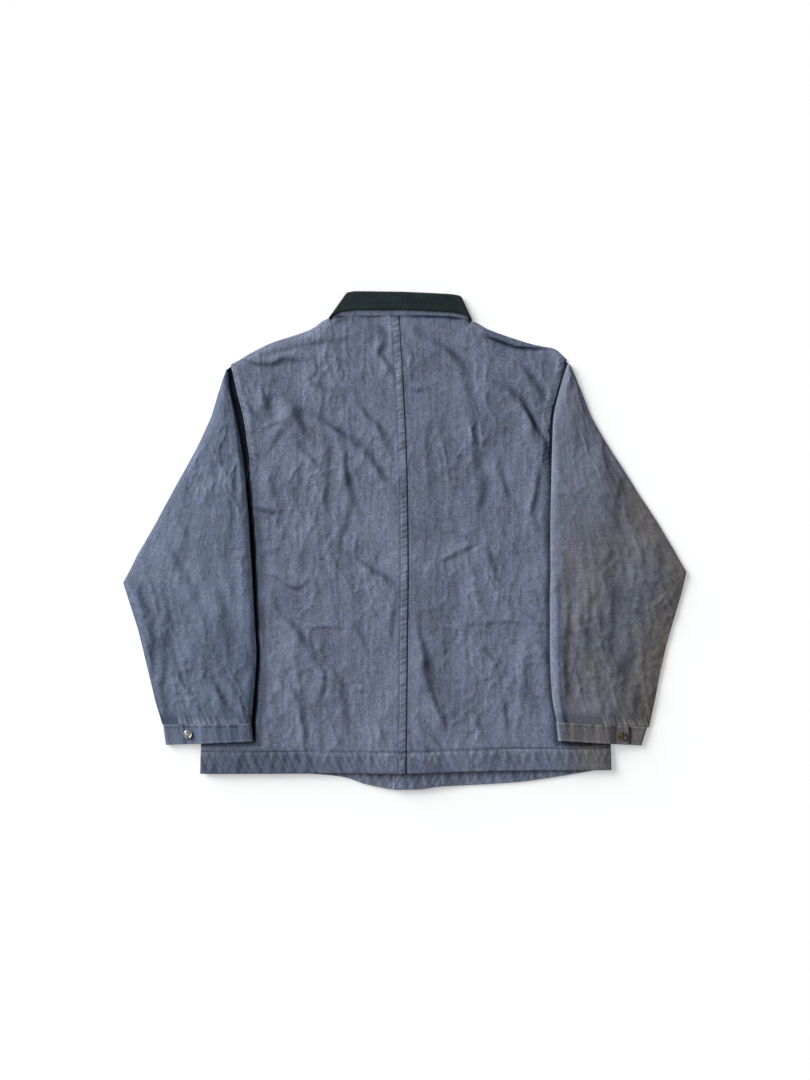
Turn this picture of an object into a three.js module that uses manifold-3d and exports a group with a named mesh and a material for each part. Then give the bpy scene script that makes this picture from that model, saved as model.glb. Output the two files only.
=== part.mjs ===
// A chore jacket laid flat on its front: back up, sleeves brought down over its sides.
// Millimetres. +X is the wearer's right, +Y runs towards the collar, +Z is up from the surface.
import * as THREE from "three";
import { mergeVertices } from "three/addons/utils/BufferGeometryUtils.js";
import Module from "manifold-3d";

const wasm = await Module();
wasm.setup();

// ---- Driving dimensions ----

const cloth = 1.0; // one layer of cotton twill
const doubled = 2 * cloth; // a cuff or a turned hem
const corduroy = 2.2; // the collar leaf, two layers and its interlining
const gap = 0.3; // between neighbouring pieces
const layGap = 0.5; // air between panels that lie on each other
const hemDepth = 33;
const cuffDepth = 33;
const capRadius = 6.7;
const capHeight = 2.4;
const tackRadius = 4.2;
const tackHeight = 1;
const stemRadius = 1.2;
const shankRadius = 3;
const frontButtonPitch = 116;
const frontButtonCount = 5;
const frontOverlap = 20; // each front runs this far past the centre line
const centreX = 2; // the line of the front buttons

const hemY = -361; // lower edge of the back
const neckY = 347; // back neck seam at the centre
const shoulderColumns = 5;
const sideRows = 11; // rows of the panels between hem and underarm
const neckColumns = 5; // columns of each back panel from the centre to the neck
const centreStations = [12, 32]; // where its first columns lie, out from the centre

// The centre back seam, from the hem to the neck.
const centreSeam = [
  { x: 3, y: hemY },
  { x: 5, y: -176 },
  { x: 6.5, y: -30 },
  { x: 3.5, y: 137 },
  { x: -7, y: neckY },
];

// The lay of each side. The body's outline runs from the hem corner to the underarm, up the
// armhole, and along the shoulder to the neck.
const body = {
  left: {
    side: -1,
    hem: [-317, -362],
    neck: [-115, 344],
    shoulder: [[-205, 307], [-175, 317], [-146, 327]],
    frontHem: [[-317, -358], [-210, -359], [-103, -366], [-62, -378], [-18, -386.5], [24, -386]],
  },
  right: {
    side: 1,
    hem: [321, -356],
    neck: [103, 339],
    shoulder: [[201, 303], [168, 314], [132, 326]],
    frontHem: [[321, -352], [272, -361], [187, -374], [117, -379], [55, -382], [-20, -386.5]],
  },
};

// Cross-sections of the sleeves, shoulder to cuff. outer is the elbow side, fold is the inner
// edge seen from above, and drop lowers the outer end. The first rows also name the armhole.
const sleeveSections = {
  left: [
    { y: 268, outer: -276, fold: -269, drop: 4, armX: -257, armY: 279 },
    { y: 238, outer: -285, fold: -267, drop: 0, armX: -252, armY: 240 },
    { y: 195, outer: -299, fold: -258, drop: 2, armX: -244, armY: 197 },
    { y: 153, outer: -318, fold: -249, drop: 2, armX: -236, armY: 155 },
    { y: 116, outer: -337, fold: -245, drop: 1, armX: -237, armY: 115 },
    { y: 76, outer: -360, fold: -242, drop: 2, armX: -258, armY: 73 },
    { y: 32, outer: -384, fold: -238, drop: 3, armX: -308, armY: 38 },
    { y: -20, outer: -414, fold: -235, drop: 2 },
    { y: -64, outer: -436, fold: -232, drop: 1 },
    { y: -98, outer: -424, fold: -230, drop: 0 },
    { y: -136, outer: -411, fold: -228, drop: 0 },
    { y: -176, outer: -401, fold: -227, drop: 0 },
    { y: -214, outer: -392, fold: -231, drop: 0 },
    { y: -250, outer: -384, fold: -234, drop: 0 },
    { y: -283, outer: -376, fold: -237, drop: 1 },
  ],
  right: [
    { y: 276, outer: 257, fold: 251, drop: -2, armX: 240, armY: 290 },
    { y: 243, outer: 269, fold: 245, drop: 0, armX: 233, armY: 246 },
    { y: 195, outer: 289, fold: 233, drop: 2, armX: 227, armY: 197 },
    { y: 150, outer: 315, fold: 229, drop: 2, armX: 223, armY: 152 },
    { y: 112, outer: 338, fold: 228, drop: 0, armX: 229, armY: 112 },
    { y: 72, outer: 363, fold: 227, drop: 0, armX: 258, armY: 73 },
    { y: 30, outer: 391, fold: 226.5, drop: 0, armX: 312, armY: 38 },
    { y: -12, outer: 416, fold: 226, drop: 0 },
    { y: -49, outer: 437, fold: 226, drop: 0 },
    { y: -84, outer: 427, fold: 225.5, drop: 0 },
    { y: -122, outer: 415, fold: 225, drop: 0 },
    { y: -164, outer: 403, fold: 225, drop: 0 },
    { y: -205, outer: 393, fold: 226, drop: 1 },
    { y: -245, outer: 385, fold: 229, drop: 3 },
    { y: -281, outer: 378, fold: 235, drop: 8 },
  ],
};
const armholeRows = 7; // the rows above that name the armhole, the last one at the underarm

// Where the cuffs end and fasten. The overlap comes from the inner edge and lies on the tab.
const cuffs = {
  left: { bottomOuter: [-371, -317], bottomFold: [-234, -311], overlapEnd: -345, button: -335 },
  right: { bottomOuter: [368, -318], bottomFold: [238, -310], overlapEnd: 349, button: 338 },
};
const cuffTabLength = 16.5; // how far the tab runs under the overlap
const tackSpace = 2.1; // air under the tab, for the button's tack

// How a sleeve or a cuff falls from the body's side seam to the surface.
const sleeveDrape = { start: 2, length: 24 };
const cuffDrape = { start: 1, length: 9 };

// Front patch pockets, measured from the centre line.
const pocket = { inner: 81, width: 175, top: -130, depth: 185 };

// The largest folds of the back: ridges from one end to the other.
const backFolds = [
  { name: "neck to left armhole", from: [-46, 330], to: [-150, 296], width: 30, height: 1.6 },
  { name: "left blade", from: [-190, 185], to: [-25, 78], width: 28, height: 1.6 },
  { name: "left blade, lower", from: [-165, 120], to: [-100, -20], width: 30, height: 1.4 },
  { name: "left waist", from: [-95, -40], to: [-10, -85], width: 26, height: 1.6 },
  { name: "left side", from: [-205, -90], to: [-100, -215], width: 28, height: 1.5 },
  { name: "right shoulder", from: [15, 310], to: [95, 200], width: 32, height: 1.6 },
  { name: "right blade", from: [110, 235], to: [205, 95], width: 30, height: 1.6 },
  { name: "right of centre", from: [78, 190], to: [110, -20], width: 26, height: 1.4 },
  { name: "right waist", from: [35, -70], to: [105, -30], width: 24, height: 1.5 },
  { name: "right hip", from: [20, -130], to: [62, -300], width: 28, height: 1.6 },
];

// The largest creases of the sleeves, across their upper layer.
const sleeveFolds = {
  left: [
    { name: "elbow", from: [-410, -80], to: [-385, -230], width: 24, height: 1.6 },
    { name: "forearm", from: [-360, -60], to: [-300, -250], width: 26, height: 1.4 },
  ],
  right: [
    { name: "upper arm", from: [300, 120], to: [370, -40], width: 26, height: 1.4 },
    { name: "forearm", from: [350, -120], to: [360, -260], width: 24, height: 1.4 },
  ],
};

// ---- Small helpers ----

const lerp = THREE.MathUtils.lerp;
const clamp01 = (t) => THREE.MathUtils.clamp(t, 0, 1);
const ease = (t) => clamp01(t) * clamp01(t) * (3 - 2 * clamp01(t));

// 1 inside the reach, easing to 0 over the ramp beyond it.
const plateau = (distance, reach, ramp) => 1 - ease((distance - reach) / ramp);

// A point at a share of a polyline's length.
function along(points, share) {
  const at = points.map(([x, y]) => new THREE.Vector2(x, y));
  const lengths = at.slice(1).map((p, i) => p.distanceTo(at[i]));
  let left = share * lengths.reduce((a, b) => a + b, 0);
  for (let i = 0; i < lengths.length; i++) {
    if (left <= lengths[i] || i === lengths.length - 1)
      return at[i].clone().lerp(at[i + 1], clamp01(left / lengths[i]));
    left -= lengths[i];
  }
}

const sample = (points, count) =>
  Array.from({ length: count + 1 }, (_, i) => along(points, i / count));

function centreSeamAt(y) {
  const above = Math.max(1, centreSeam.findIndex((p) => p.y >= y));
  const [a, b] = [centreSeam[above - 1], centreSeam[above]];
  return new THREE.Vector2(lerp(a.x, b.x, (y - a.y) / (b.y - a.y)), y);
}

function distanceToSegment(x, y, [ax, ay], [bx, by]) {
  const [dx, dy] = [bx - ax, by - ay];
  const t = clamp01(((x - ax) * dx + (y - ay) * dy) / (dx * dx + dy * dy));
  return Math.hypot(x - ax - t * dx, y - ay - t * dy);
}

// The height that a table of folds adds at a point.
const foldHeight = (folds, x, y) =>
  folds.reduce((most, f) => {
    const d = distanceToSegment(x, y, f.from, f.to) / f.width;
    return Math.max(most, f.height * Math.exp(-d * d));
  }, 0);

// A closed wall around a surface of points and triangles. thickness may vary by point.
function wall(points, triangles, thickness) {
  const normals = points.map(() => new THREE.Vector3());
  const [ab, ac] = [new THREE.Vector3(), new THREE.Vector3()];
  for (const [a, b, c] of triangles) {
    ab.subVectors(points[b], points[a]);
    ac.subVectors(points[c], points[a]);
    const face = ab.cross(ac);
    for (const i of [a, b, c]) normals[i].add(face);
  }
  const count = points.length;
  const positions = new Float32Array(count * 6);
  points.forEach((p, i) => {
    const half = (typeof thickness === "function" ? thickness(p) : thickness) / 2;
    const n = normals[i].normalize();
    p.clone().addScaledVector(n, half).toArray(positions, i * 3);
    p.clone().addScaledVector(n, -half).toArray(positions, (count + i) * 3);
  });
  const index = [];
  const edges = new Map();
  for (const [a, b, c] of triangles) {
    index.push(a, b, c, count + a, count + c, count + b);
    for (const [i, j] of [[a, b], [b, c], [c, a]]) {
      const back = `${j},${i}`;
      if (edges.has(back)) edges.delete(back);
      else edges.set(`${i},${j}`, [i, j]);
    }
  }
  for (const [i, j] of edges.values())
    index.push(i, count + i, count + j, i, count + j, j);
  const geometry = new THREE.BufferGeometry();
  geometry.setAttribute("position", new THREE.BufferAttribute(positions, 3));
  geometry.setIndex(index);
  return geometry;
}

// A wall around a grid of points. Rows listed by welded close on themselves, as a tube does.
function gridWall(grid, thickness, { welded = () => false, flip = false } = {}) {
  const points = [];
  const ids = grid.map((row, i) =>
    row.map((p, j) => {
      if (j === row.length - 1 && welded(i)) return points.length - row.length + 1;
      points.push(p);
      return points.length - 1;
    }),
  );
  const triangles = [];
  for (let i = 0; i < grid.length - 1; i++)
    for (let j = 0; j < grid[i].length - 1; j++) {
      const [a, b] = [ids[i][j], ids[i][j + 1]];
      const [c, d] = [ids[i + 1][j + 1], ids[i + 1][j]];
      const quad = [[a, b, c], [a, c, d]];
      triangles.push(...(flip ? quad.map(([p, q, r]) => [p, r, q]) : quad));
    }
  return wall(points, triangles, thickness);
}

// A grid of plan points that fills four edges. inner and outer run up, bottom and top run out.
function coons(inner, outer, bottom, top) {
  const [rows, columns] = [inner.length - 1, bottom.length - 1];
  return inner.map((_, i) =>
    bottom.map((_, j) => {
      const [v, u] = [i / rows, j / columns];
      const p = bottom[j].clone().lerp(top[j], v).add(inner[i].clone().lerp(outer[i], u));
      const corners = bottom[0].clone().lerp(bottom[columns], u);
      corners.lerp(top[0].clone().lerp(top[columns], u), v);
      return p.sub(corners);
    }),
  );
}

function solid(geometry) {
  const merged = mergeVertices(geometry.clone().deleteAttribute("normal").deleteAttribute("uv"), 1e-4);
  const mesh = new wasm.Mesh({
    numProp: 3,
    vertProperties: new Float32Array(merged.attributes.position.array),
    triVerts: new Uint32Array(merged.index.array),
  });
  return new wasm.Manifold(mesh);
}

function cut(geometry, tools) {
  const made = tools.reduce((left, tool) => left.subtract(solid(tool)), solid(geometry)).getMesh();
  const result = new THREE.BufferGeometry();
  result.setAttribute("position", new THREE.BufferAttribute(made.vertProperties, 3));
  result.setIndex(new THREE.BufferAttribute(made.triVerts, 1));
  return result;
}

const material = (color, roughness, metalness = 0) =>
  new THREE.MeshStandardMaterial({ color, roughness, metalness });
const twill = material(0x5d6780, 0.9);
const cord = material(0x232e31, 0.95);
const metal = material(0xa59a80, 0.35, 1);

const jacket = new THREE.Group();
jacket.name = "chore_jacket";

function add(name, geometry, finish) {
  const mesh = new THREE.Mesh(geometry, finish);
  mesh.name = name;
  jacket.add(mesh);
  return mesh;
}

// ---- How the layers lie: heights above the surface ----

const overlapReach = frontOverlap + 10;
const leftFrontLift = capHeight + gap; // the buttonhole side, over the button caps
const rightFrontLift = leftFrontLift + cloth + 2 * gap; // the button side, over that
const backCentreLift = rightFrontLift + cloth + tackHeight + 2 * gap;
const collarLift = corduroy + gap;

const armhole = (name) =>
  sleeveSections[name].slice(0, armholeRows).map((s) => new THREE.Vector2(s.armX, s.armY));

// How far a point lies inside the part of the fronts that covers the collar leaf.
function collarCover(x, y) {
  const reachX = plateau(Math.abs(x - centreX), 118, 45);
  return reachX * ease((y - 185) / 45);
}

function pocketCover(x, y) {
  const middle = pocket.inner + pocket.width / 2;
  const fromX = Math.abs(Math.abs(x - centreX) - middle) - pocket.width / 2;
  const fromY = Math.abs(y - pocket.top + pocket.depth / 2) - pocket.depth / 2;
  return plateau(Math.max(fromX, fromY), 42, 45);
}

// 1 at the hem, where each layer is doubled, easing to 0 above it.
const hemSwell = (y) => ease((hemY + hemDepth + 40 - y) / 30);

// The lower side of a front at a point.
function frontBase(name, x, y) {
  const from = (x - centreX) * body[name].side;
  const lift = name === "left" ? leftFrontLift : rightFrontLift + cloth * hemSwell(y);
  const ridge = lift * plateau(from, overlapReach, 70);
  const patch = Math.max((cloth + gap) * pocketCover(x, y), collarLift * collarCover(x, y));
  return Math.max(ridge, patch);
}

const frontHemTop = (x, y) => (y < hemY + hemDepth ? doubled : cloth);

function frontTop(x, y) {
  const past = Math.abs(x - centreX) < frontOverlap + 1;
  const names = past ? ["left", "right"] : [x < centreX ? "left" : "right"];
  return Math.max(...names.map((name) => frontBase(name, x, y))) + frontHemTop(x, y);
}

// The lower side of the back at a point.
function backBase(x, y) {
  const from = Math.abs(x - centreX);
  const collar = collarLift * collarCover(x, y + 30);
  const hem = cloth * hemSwell(y);
  const tacks = (backCentreLift + hem) * plateau(from, 13, 34);
  const fronts = ["left", "right"].map((name) => {
    const past = plateau((centreX - x) * body[name].side, frontOverlap + 4, 34);
    const swell = name === "right" ? hem : 0;
    return frontBase(name, x, y) * past + cloth + gap + swell;
  });
  const edges = sideFade(x, y);
  const patch = (cloth + gap) * pocketCover(x, y);
  const level = Math.max(tacks, ...fronts, cloth + gap + Math.max(collar, patch)) + hem;
  return level + edges * (layGap + foldHeight(backFolds, x, y));
}

// 0 along the body's outer edges, where the panels are sewn, and 1 well inside them.
function sideFade(x, y) {
  const name = x < centreX ? "left" : "right";
  const { hem, neck, shoulder } = body[name];
  const edge = [hem, ...armhole(name).reverse().map((p) => [p.x, p.y]), ...shoulder, neck, [0, neckY]];
  const distances = edge.slice(1).map((p, i) => distanceToSegment(x, y, edge[i], p));
  return ease(Math.min(...distances) / 35);
}

const backThickness = (p) => (p.y < hemY + hemDepth ? doubled : cloth);

// The side seam of the body at a height.
function sideSeam(name, y) {
  const [hemX, low] = body[name].hem;
  const underarm = sleeveSections[name][armholeRows - 1];
  return lerp(hemX, underarm.armX, clamp01((y - low) / (underarm.armY - low)));
}

// The top of the body at a point, falling to the surface just outside its side seams.
function bodyTop(x, y, drape = sleeveDrape) {
  const name = x < centreX ? "left" : "right";
  const seamX = sideSeam(name, y);
  const outside = (x - seamX) * body[name].side;
  const { armY } = sleeveSections[name][armholeRows - 1];
  const above = y > armY + 2 ? ease((y - armY) / 60) : 0;
  const level = backBase(outside > 0 ? seamX : x, y) + cloth + (y < hemY + hemDepth + 12 ? cloth : 0);
  return level * plateau(outside, drape.start, drape.length) * (outside > 0 ? 1 - above : 1);
}

// ---- Back panels, one each side of the centre seam ----

function bodyRows(name) {
  const { hem } = body[name];
  const underarm = armhole(name)[armholeRows - 1];
  const hemTop = new THREE.Vector2(hem[0], hem[1] + hemDepth);
  const side = Array.from({ length: sideRows }, (_, i) => hemTop.clone().lerp(underarm, i / sideRows));
  return [new THREE.Vector2(...hem), ...side, ...armhole(name).reverse()];
}

// The shoulder line from the neck to the armhole, without its first point.
function shoulderLine(name) {
  const { neck, shoulder } = body[name];
  const { x, y } = armhole(name)[0];
  return sample([neck, ...[...shoulder].reverse(), [x, y]], shoulderColumns).slice(1);
}

// Heights along a centre line that match the rows of the outer edge.
function innerRows(outer, low, hemTop, high) {
  const underarmRow = sideRows + 1;
  return outer.map((p, i) => {
    if (i === 0) return low;
    if (i <= underarmRow) return lerp(hemTop, 38, (i - 1) / sideRows);
    return lerp(38, high, (i - underarmRow) / (outer.length - 1 - underarmRow));
  });
}

// Points along a line, the first of them at the centre stations and the rest even.
function columnsAcross(points, count) {
  const length = points.slice(1).reduce((sum, p, i) => sum + Math.hypot(p[0] - points[i][0], p[1] - points[i][1]), 0);
  const near = [0, ...centreStations];
  const rest = count + 1 - near.length;
  const start = near[near.length - 1];
  const even = Array.from({ length: rest }, (_, i) => start + ((length - start) * (i + 1)) / rest);
  return [...near, ...even].map((d) => along(points, d / length));
}

function backPanel(name) {
  const { side, hem, neck } = body[name];
  const outer = bodyRows(name);
  const inner = innerRows(outer, hemY, hemY + hemDepth, neckY).map((y) => {
    const seam = centreSeamAt(y);
    seam.x += (side * gap) / 2;
    return seam;
  });
  const neckLine = columnsAcross([[inner[inner.length - 1].x, neckY], neck], neckColumns);
  const top = [...neckLine, ...shoulderLine(name)];
  const bottom = columnsAcross([[inner[0].x, hemY], hem], top.length - 1);
  const plan = coons(inner, outer, bottom, top);
  const grid = plan.map((row) =>
    row.map(({ x, y }) => new THREE.Vector3(x, y, backBase(x, y) + backThickness({ y }) / 2)),
  );
  return gridWall(grid, backThickness, { flip: side < 0 });
}

// ---- Fronts, the left one outermost ----

const frontNeck = {
  left: [[centreX + frontOverlap, 256], [-30, 258], [-72, 274], [-102, 305]],
  right: [[centreX - frontOverlap, 256], [34, 258], [70, 272], [95, 303]],
};

function frontPanel(name) {
  const { side, neck, frontHem } = body[name];
  const outer = bodyRows(name);
  const hemLine = [...frontHem].reverse();
  const edgeX = centreX - side * frontOverlap;
  const low = hemLine[0][1];
  const inner = innerRows(outer, low, hemY + hemDepth, 256).map((y) => new THREE.Vector2(edgeX, y));
  outer[0] = new THREE.Vector2(...frontHem[0]);
  const neckLine = [...frontNeck[name], neck].map(([x, y]) => new THREE.Vector2(x, y));
  const top = [...neckLine, ...shoulderLine(name)];
  const bottom = sample([[edgeX, low], ...hemLine.slice(1)], top.length - 1);
  const plan = coons(inner, outer, bottom, top);
  const grid = plan.map((row) =>
    row.map(({ x, y }) => {
      const thickness = frontHemTop(x, y);
      return new THREE.Vector3(x, y, frontBase(name, x, y) + thickness / 2);
    }),
  );
  return gridWall(grid, (p) => frontHemTop(p.x, p.y), { flip: side < 0 });
}

const frontButtonYs = Array.from(
  { length: frontButtonCount },
  (_, i) => ((frontButtonCount - 1) / 2 - i) * frontButtonPitch - 8,
);

// A buttonhole: a slot right through, rounded by the button's shank at one end.
function buttonhole(x, y, z) {
  const slot = new THREE.BoxGeometry(2 * capRadius + 2, 2 * (shankRadius + gap), 12);
  return slot.translate(x, y, z);
}

const roundHole = (x, y, z) =>
  new THREE.CylinderGeometry(stemRadius + gap, stemRadius + gap, 12, 10)
    .rotateX(Math.PI / 2)
    .translate(x, y, z);

// ---- Sleeves ----

const seamInset = (share) => lerp(68, 30, share); // the underarm seam, in from the fold
const foldRadius = 0.9;
const lowerSteps = 7;
const upperSteps = lowerSteps + 1;

// The lower layer's middle height at a point of a sleeve.
const lowerLayer = (x, y) => {
  const under = bodyTop(x, y);
  return under + 2 * layGap * clamp01(under) + cloth / 2;
};

// Places between two ends, with one each where the cloth starts and stops falling off the body.
function stations(name, from, to, y, drape, count) {
  const { side } = body[name];
  const seamX = sideSeam(name, y);
  const falls = [seamX + side * drape.start, seamX + side * (drape.start + drape.length)].filter(
    (x) => (x - from) * side > 4 && (to - x) * side > 4,
  );
  const marks = [from, ...falls, to];
  while (marks.length < count + 1) {
    const spans = marks.slice(1).map((x, i) => (x - marks[i]) * side);
    const widest = spans.indexOf(Math.max(...spans));
    marks.splice(widest + 1, 0, (marks[widest] + marks[widest + 1]) / 2);
  }
  return marks;
}

function sleeveRow(name, row, index, rows) {
  const { side } = body[name];
  const underarm = armholeRows - 1;
  const closed = index >= underarm;
  const outer = new THREE.Vector2(row.outer - (side * cloth) / 2, row.y - row.drop);
  const fold = new THREE.Vector2(row.fold + (side * cloth) / 2, row.y);
  const inset = seamInset((index - underarm) / (rows - 1 - underarm));
  const seam = closed
    ? new THREE.Vector2(fold.x + side * inset, row.y)
    : new THREE.Vector2(row.armX + side * gap, row.armY);
  if (index === underarm) seam.set(row.armX + side * gap, row.armY);

  const lowerZ = (p) => (closed ? lowerLayer(p.x, p.y) : cloth / 2);
  const overBody = (fold.x - (row.armX ?? fold.x - side)) * side < 0;
  const pad = index / rows < 0.5 ? 2.2 : 1.6;
  const upperZ = (p, share) => {
    const rest = overBody ? Math.max(lowerZ(p), lowerLayer(p.x, p.y)) : lowerZ(p);
    const loft = 2 * foldRadius + pad * Math.sin(Math.PI * clamp01(share));
    return rest + loft + sideRise(share) * foldHeight(sleeveFolds[name], p.x, p.y);
  };

  const points = [];
  const put = (p, z) => points.push(new THREE.Vector3(p.x, p.y, z));
  const marks = stations(name, seam.x, outer.x, row.y, sleeveDrape, lowerSteps);
  const spread = marks.map((x) => (x - seam.x) / (outer.x - seam.x));
  for (const share of spread.slice(0, -1)) {
    const p = seam.clone().lerp(outer, share);
    put(p, lowerZ(p));
  }
  const inward = new THREE.Vector2(-side * foldRadius, 0);
  put(outer.clone().add(inward), lowerZ(outer));
  put(outer, lowerZ(outer) + foldRadius);
  put(outer.clone().add(inward), lowerZ(outer) + 2 * foldRadius);
  const inner = overBody && !closed ? fold : seam.clone().lerp(fold, closed ? 0 : 0.5);
  const across = (x) => outer.clone().lerp(fold, (x - outer.x) / (fold.x - outer.x));
  const reach = closed ? seam.x : (inner.x + outer.x) / 2;
  const uppers = closed ? [...spread.slice(1, -1).map((share) => lerp(seam.x, outer.x, share))].reverse() : [];
  if (closed) uppers.push(reach, (reach + fold.x) / 2);
  else for (let i = 1; i < upperSteps; i++) uppers.push(lerp(outer.x, fold.x, i / upperSteps));
  for (const x of uppers) put(across(x), upperZ(across(x), (x - outer.x) / (fold.x - outer.x)));
  const outward = new THREE.Vector2(side * foldRadius, 0);
  const lapX = row.armX - side * 3;
  const lapZ = closed ? 0 : backBase(lapX, row.armY) + cloth + gap + cloth / 2;
  const clear = closed ? 0 : (fold.x - row.armX) * side;
  const open = lerp(lapZ, 1.5 * cloth + gap, ease((clear - 8) / 6));
  const valley = closed || overBody ? lowerLayer(fold.x, fold.y) : open;
  put(fold.clone().add(outward), valley + 2 * foldRadius);
  put(fold, valley + foldRadius);
  put(fold.clone().add(outward), valley);
  const end = closed ? seam : new THREE.Vector2(lapX, row.armY);
  const before = fold.clone().lerp(end, 0.5);
  if (!closed && !overBody) before.set(row.armX + side * 1.5, row.armY);
  put(before, closed ? lowerZ(before) : Math.max(lapZ, overBody ? lowerLayer(before.x, before.y) : 0));
  put(end, closed ? lowerZ(end) : lapZ);
  return points;
}

const sideRise = (share) => ease(4 * share) * ease(4 * (1 - share));

function sleeve(name) {
  const sections = sleeveSections[name];
  const grid = sections.map((row, i) => sleeveRow(name, row, i, sections.length));
  const welded = (i) => i >= armholeRows - 1;
  return gridWall(grid, cloth, { welded, flip: name === "left" });
}

// ---- Cuffs: a band that goes round the wrist and laps over itself ----

const cuffLevels = {
  under: (p) => {
    const top = bodyTop(p.x, p.y, cuffDrape);
    return top + layGap * clamp01(top) + doubled / 2;
  },
  tab: (p) => cuffLevels.under(p) + doubled + tackSpace,
  overlap: (p) => cuffLevels.tab(p) + doubled + 2 * gap,
};

function cuff(name) {
  const { side } = body[name];
  const { bottomOuter, bottomFold, overlapEnd } = cuffs[name];
  const last = sleeveSections[name][sleeveSections[name].length - 1];
  const top = {
    outer: new THREE.Vector2(last.outer, last.y - last.drop - gap - 0.2),
    fold: new THREE.Vector2(last.fold, last.y - gap - 0.2),
  };
  const bottom = { outer: new THREE.Vector2(...bottomOuter), fold: new THREE.Vector2(...bottomFold) };
  const radius = 1.4;
  const grid = [0, 0.5, 1].map((down) => {
    const outer = top.outer.clone().lerp(bottom.outer, down);
    const fold = top.fold.clone().lerp(bottom.fold, down);
    outer.x -= (side * doubled) / 2;
    fold.x += (side * doubled) / 2;
    const at = (x) => outer.clone().lerp(fold, (x - outer.x) / (fold.x - outer.x));
    const points = [];
    const put = (p, z, shift = 0) => points.push(new THREE.Vector3(p.x + shift, p.y, z));
    const tabEnd = at(overlapEnd - side * cuffTabLength);
    for (const share of [0, 0.5]) {
      const p = tabEnd.clone().lerp(outer, share);
      put(p, cuffLevels.tab(p));
    }
    put(outer, cuffLevels.tab(outer), -side * radius);
    put(outer, (cuffLevels.tab(outer) + cuffLevels.under(outer)) / 2);
    put(outer, cuffLevels.under(outer), -side * radius);
    const marks = stations(name, fold.x, outer.x, outer.y, cuffDrape, 7).reverse();
    for (const x of marks.slice(1, -1)) put(at(x), cuffLevels.under(at(x)));
    put(fold, cuffLevels.under(fold), side * radius);
    put(fold, (cuffLevels.overlap(fold) + cuffLevels.under(fold)) / 2);
    put(fold, cuffLevels.overlap(fold), side * radius);
    const laps = stations(name, fold.x, overlapEnd, outer.y, cuffDrape, 6);
    for (const x of laps.slice(1)) put(at(x), cuffLevels.overlap(at(x)));
    return points;
  });
  return gridWall(grid, doubled, { flip: name === "right" });
}

// ---- Collar: a stand sewn to the neck and a corduroy leaf turned down over it ----

// Sections round the neck, from the collar's front end to the centre back. Each names a point of
// the neck seam, of the roll line and of the leaf's edge.
// The neck side has a front row, a row on the side fold, and a back row close together.
const collarSections = {
  left: [
    { seam: [-6, 257.9], stand: [-6, 288], roll: [-7, 290], edge: [-48, 230], front: true },
    { seam: [-30, 258.8], stand: [-24, 292], roll: [-23, 294], edge: [-74, 248], front: true },
    { seam: [-71.5, 274.8], stand: [-50, 302], roll: [-49, 304], edge: [-99, 285], front: true },
    { seam: [-101.2, 305.5], stand: [-73, 333], roll: [-73, 335], edge: [-110, 320], front: true },
    { seam: [-110.5, 345.4], stand: [-83.5, 381], roll: [-84, 384], edge: [-113.5, 343], front: true },
    { seam: [-111.2, 346.6], stand: [-85, 382.3], roll: [-88, 386], edge: [-117, 346], front: null },
    { seam: [-108.5, 347.6], stand: [-82.5, 382.5], roll: [-84, 386], edge: [-113, 350], front: false },
    { seam: [-80, 350], stand: [-66, 383], roll: [-66, 386.4], edge: [-88, 356.5], front: false },
    { seam: [-44, 349], stand: [-36, 383], roll: [-36, 386], edge: [-46, 358], front: false },
  ],
  right: [
    { seam: [14, 257.9], stand: [14, 287], roll: [15, 289], edge: [54, 230], front: true },
    { seam: [34, 258.8], stand: [29, 291], roll: [28, 293], edge: [77, 247], front: true },
    { seam: [69.4, 272.8], stand: [49, 300], roll: [48, 302], edge: [97, 283], front: true },
    { seam: [94.2, 303.5], stand: [67, 330], roll: [67, 332], edge: [101, 317], front: true },
    { seam: [99.6, 340.4], stand: [82.5, 374], roll: [84, 377], edge: [101.3, 338], front: true },
    { seam: [100.6, 342], stand: [85, 375.5], roll: [88, 379], edge: [105, 341], front: null },
    { seam: [98, 343], stand: [82, 377], roll: [84, 381], edge: [101, 345], front: false },
    { seam: [74, 348.2], stand: [63, 379], roll: [64, 382.4], edge: [78, 354], front: false },
    { seam: [36, 349.5], stand: [32, 380.6], roll: [32, 384], edge: [38, 357], front: false },
  ],
};
const collarCentre = { seam: [-6, 349], stand: [-2, 382], roll: [-2, 385.5], edge: [-4, 358], front: false };

const collarAround = [
  ...collarSections.left,
  collarCentre,
  ...[...collarSections.right].reverse(),
];

// Middle heights of the stand and of the leaf, at the front, at the side folds and at the back.
const standLevel = { front: collarLift + cloth / 2, back: collarLift + cloth + layGap + 2 * gap + cloth / 2 };
const leafLevel = { front: corduroy / 2, back: standLevel.back + cloth / 2 + gap + corduroy / 2 };
const levelOf = (levels, front) => {
  if (front === null) return (levels.front + levels.back) / 2;
  return front ? levels.front : levels.back;
};

function collarBand(from, to, levels, thickness, steps) {
  const grid = collarAround.map((section) => {
    const [a, b] = [new THREE.Vector2(...section[from]), new THREE.Vector2(...section[to])];
    return Array.from({ length: steps + 1 }, (_, i) => {
      const p = a.clone().lerp(b, i / steps);
      return new THREE.Vector3(p.x, p.y, levelOf(levels, section.front));
    });
  });
  return gridWall(grid, thickness, { flip: false });
}

// ---- Patch pockets, under the fronts ----

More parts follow.
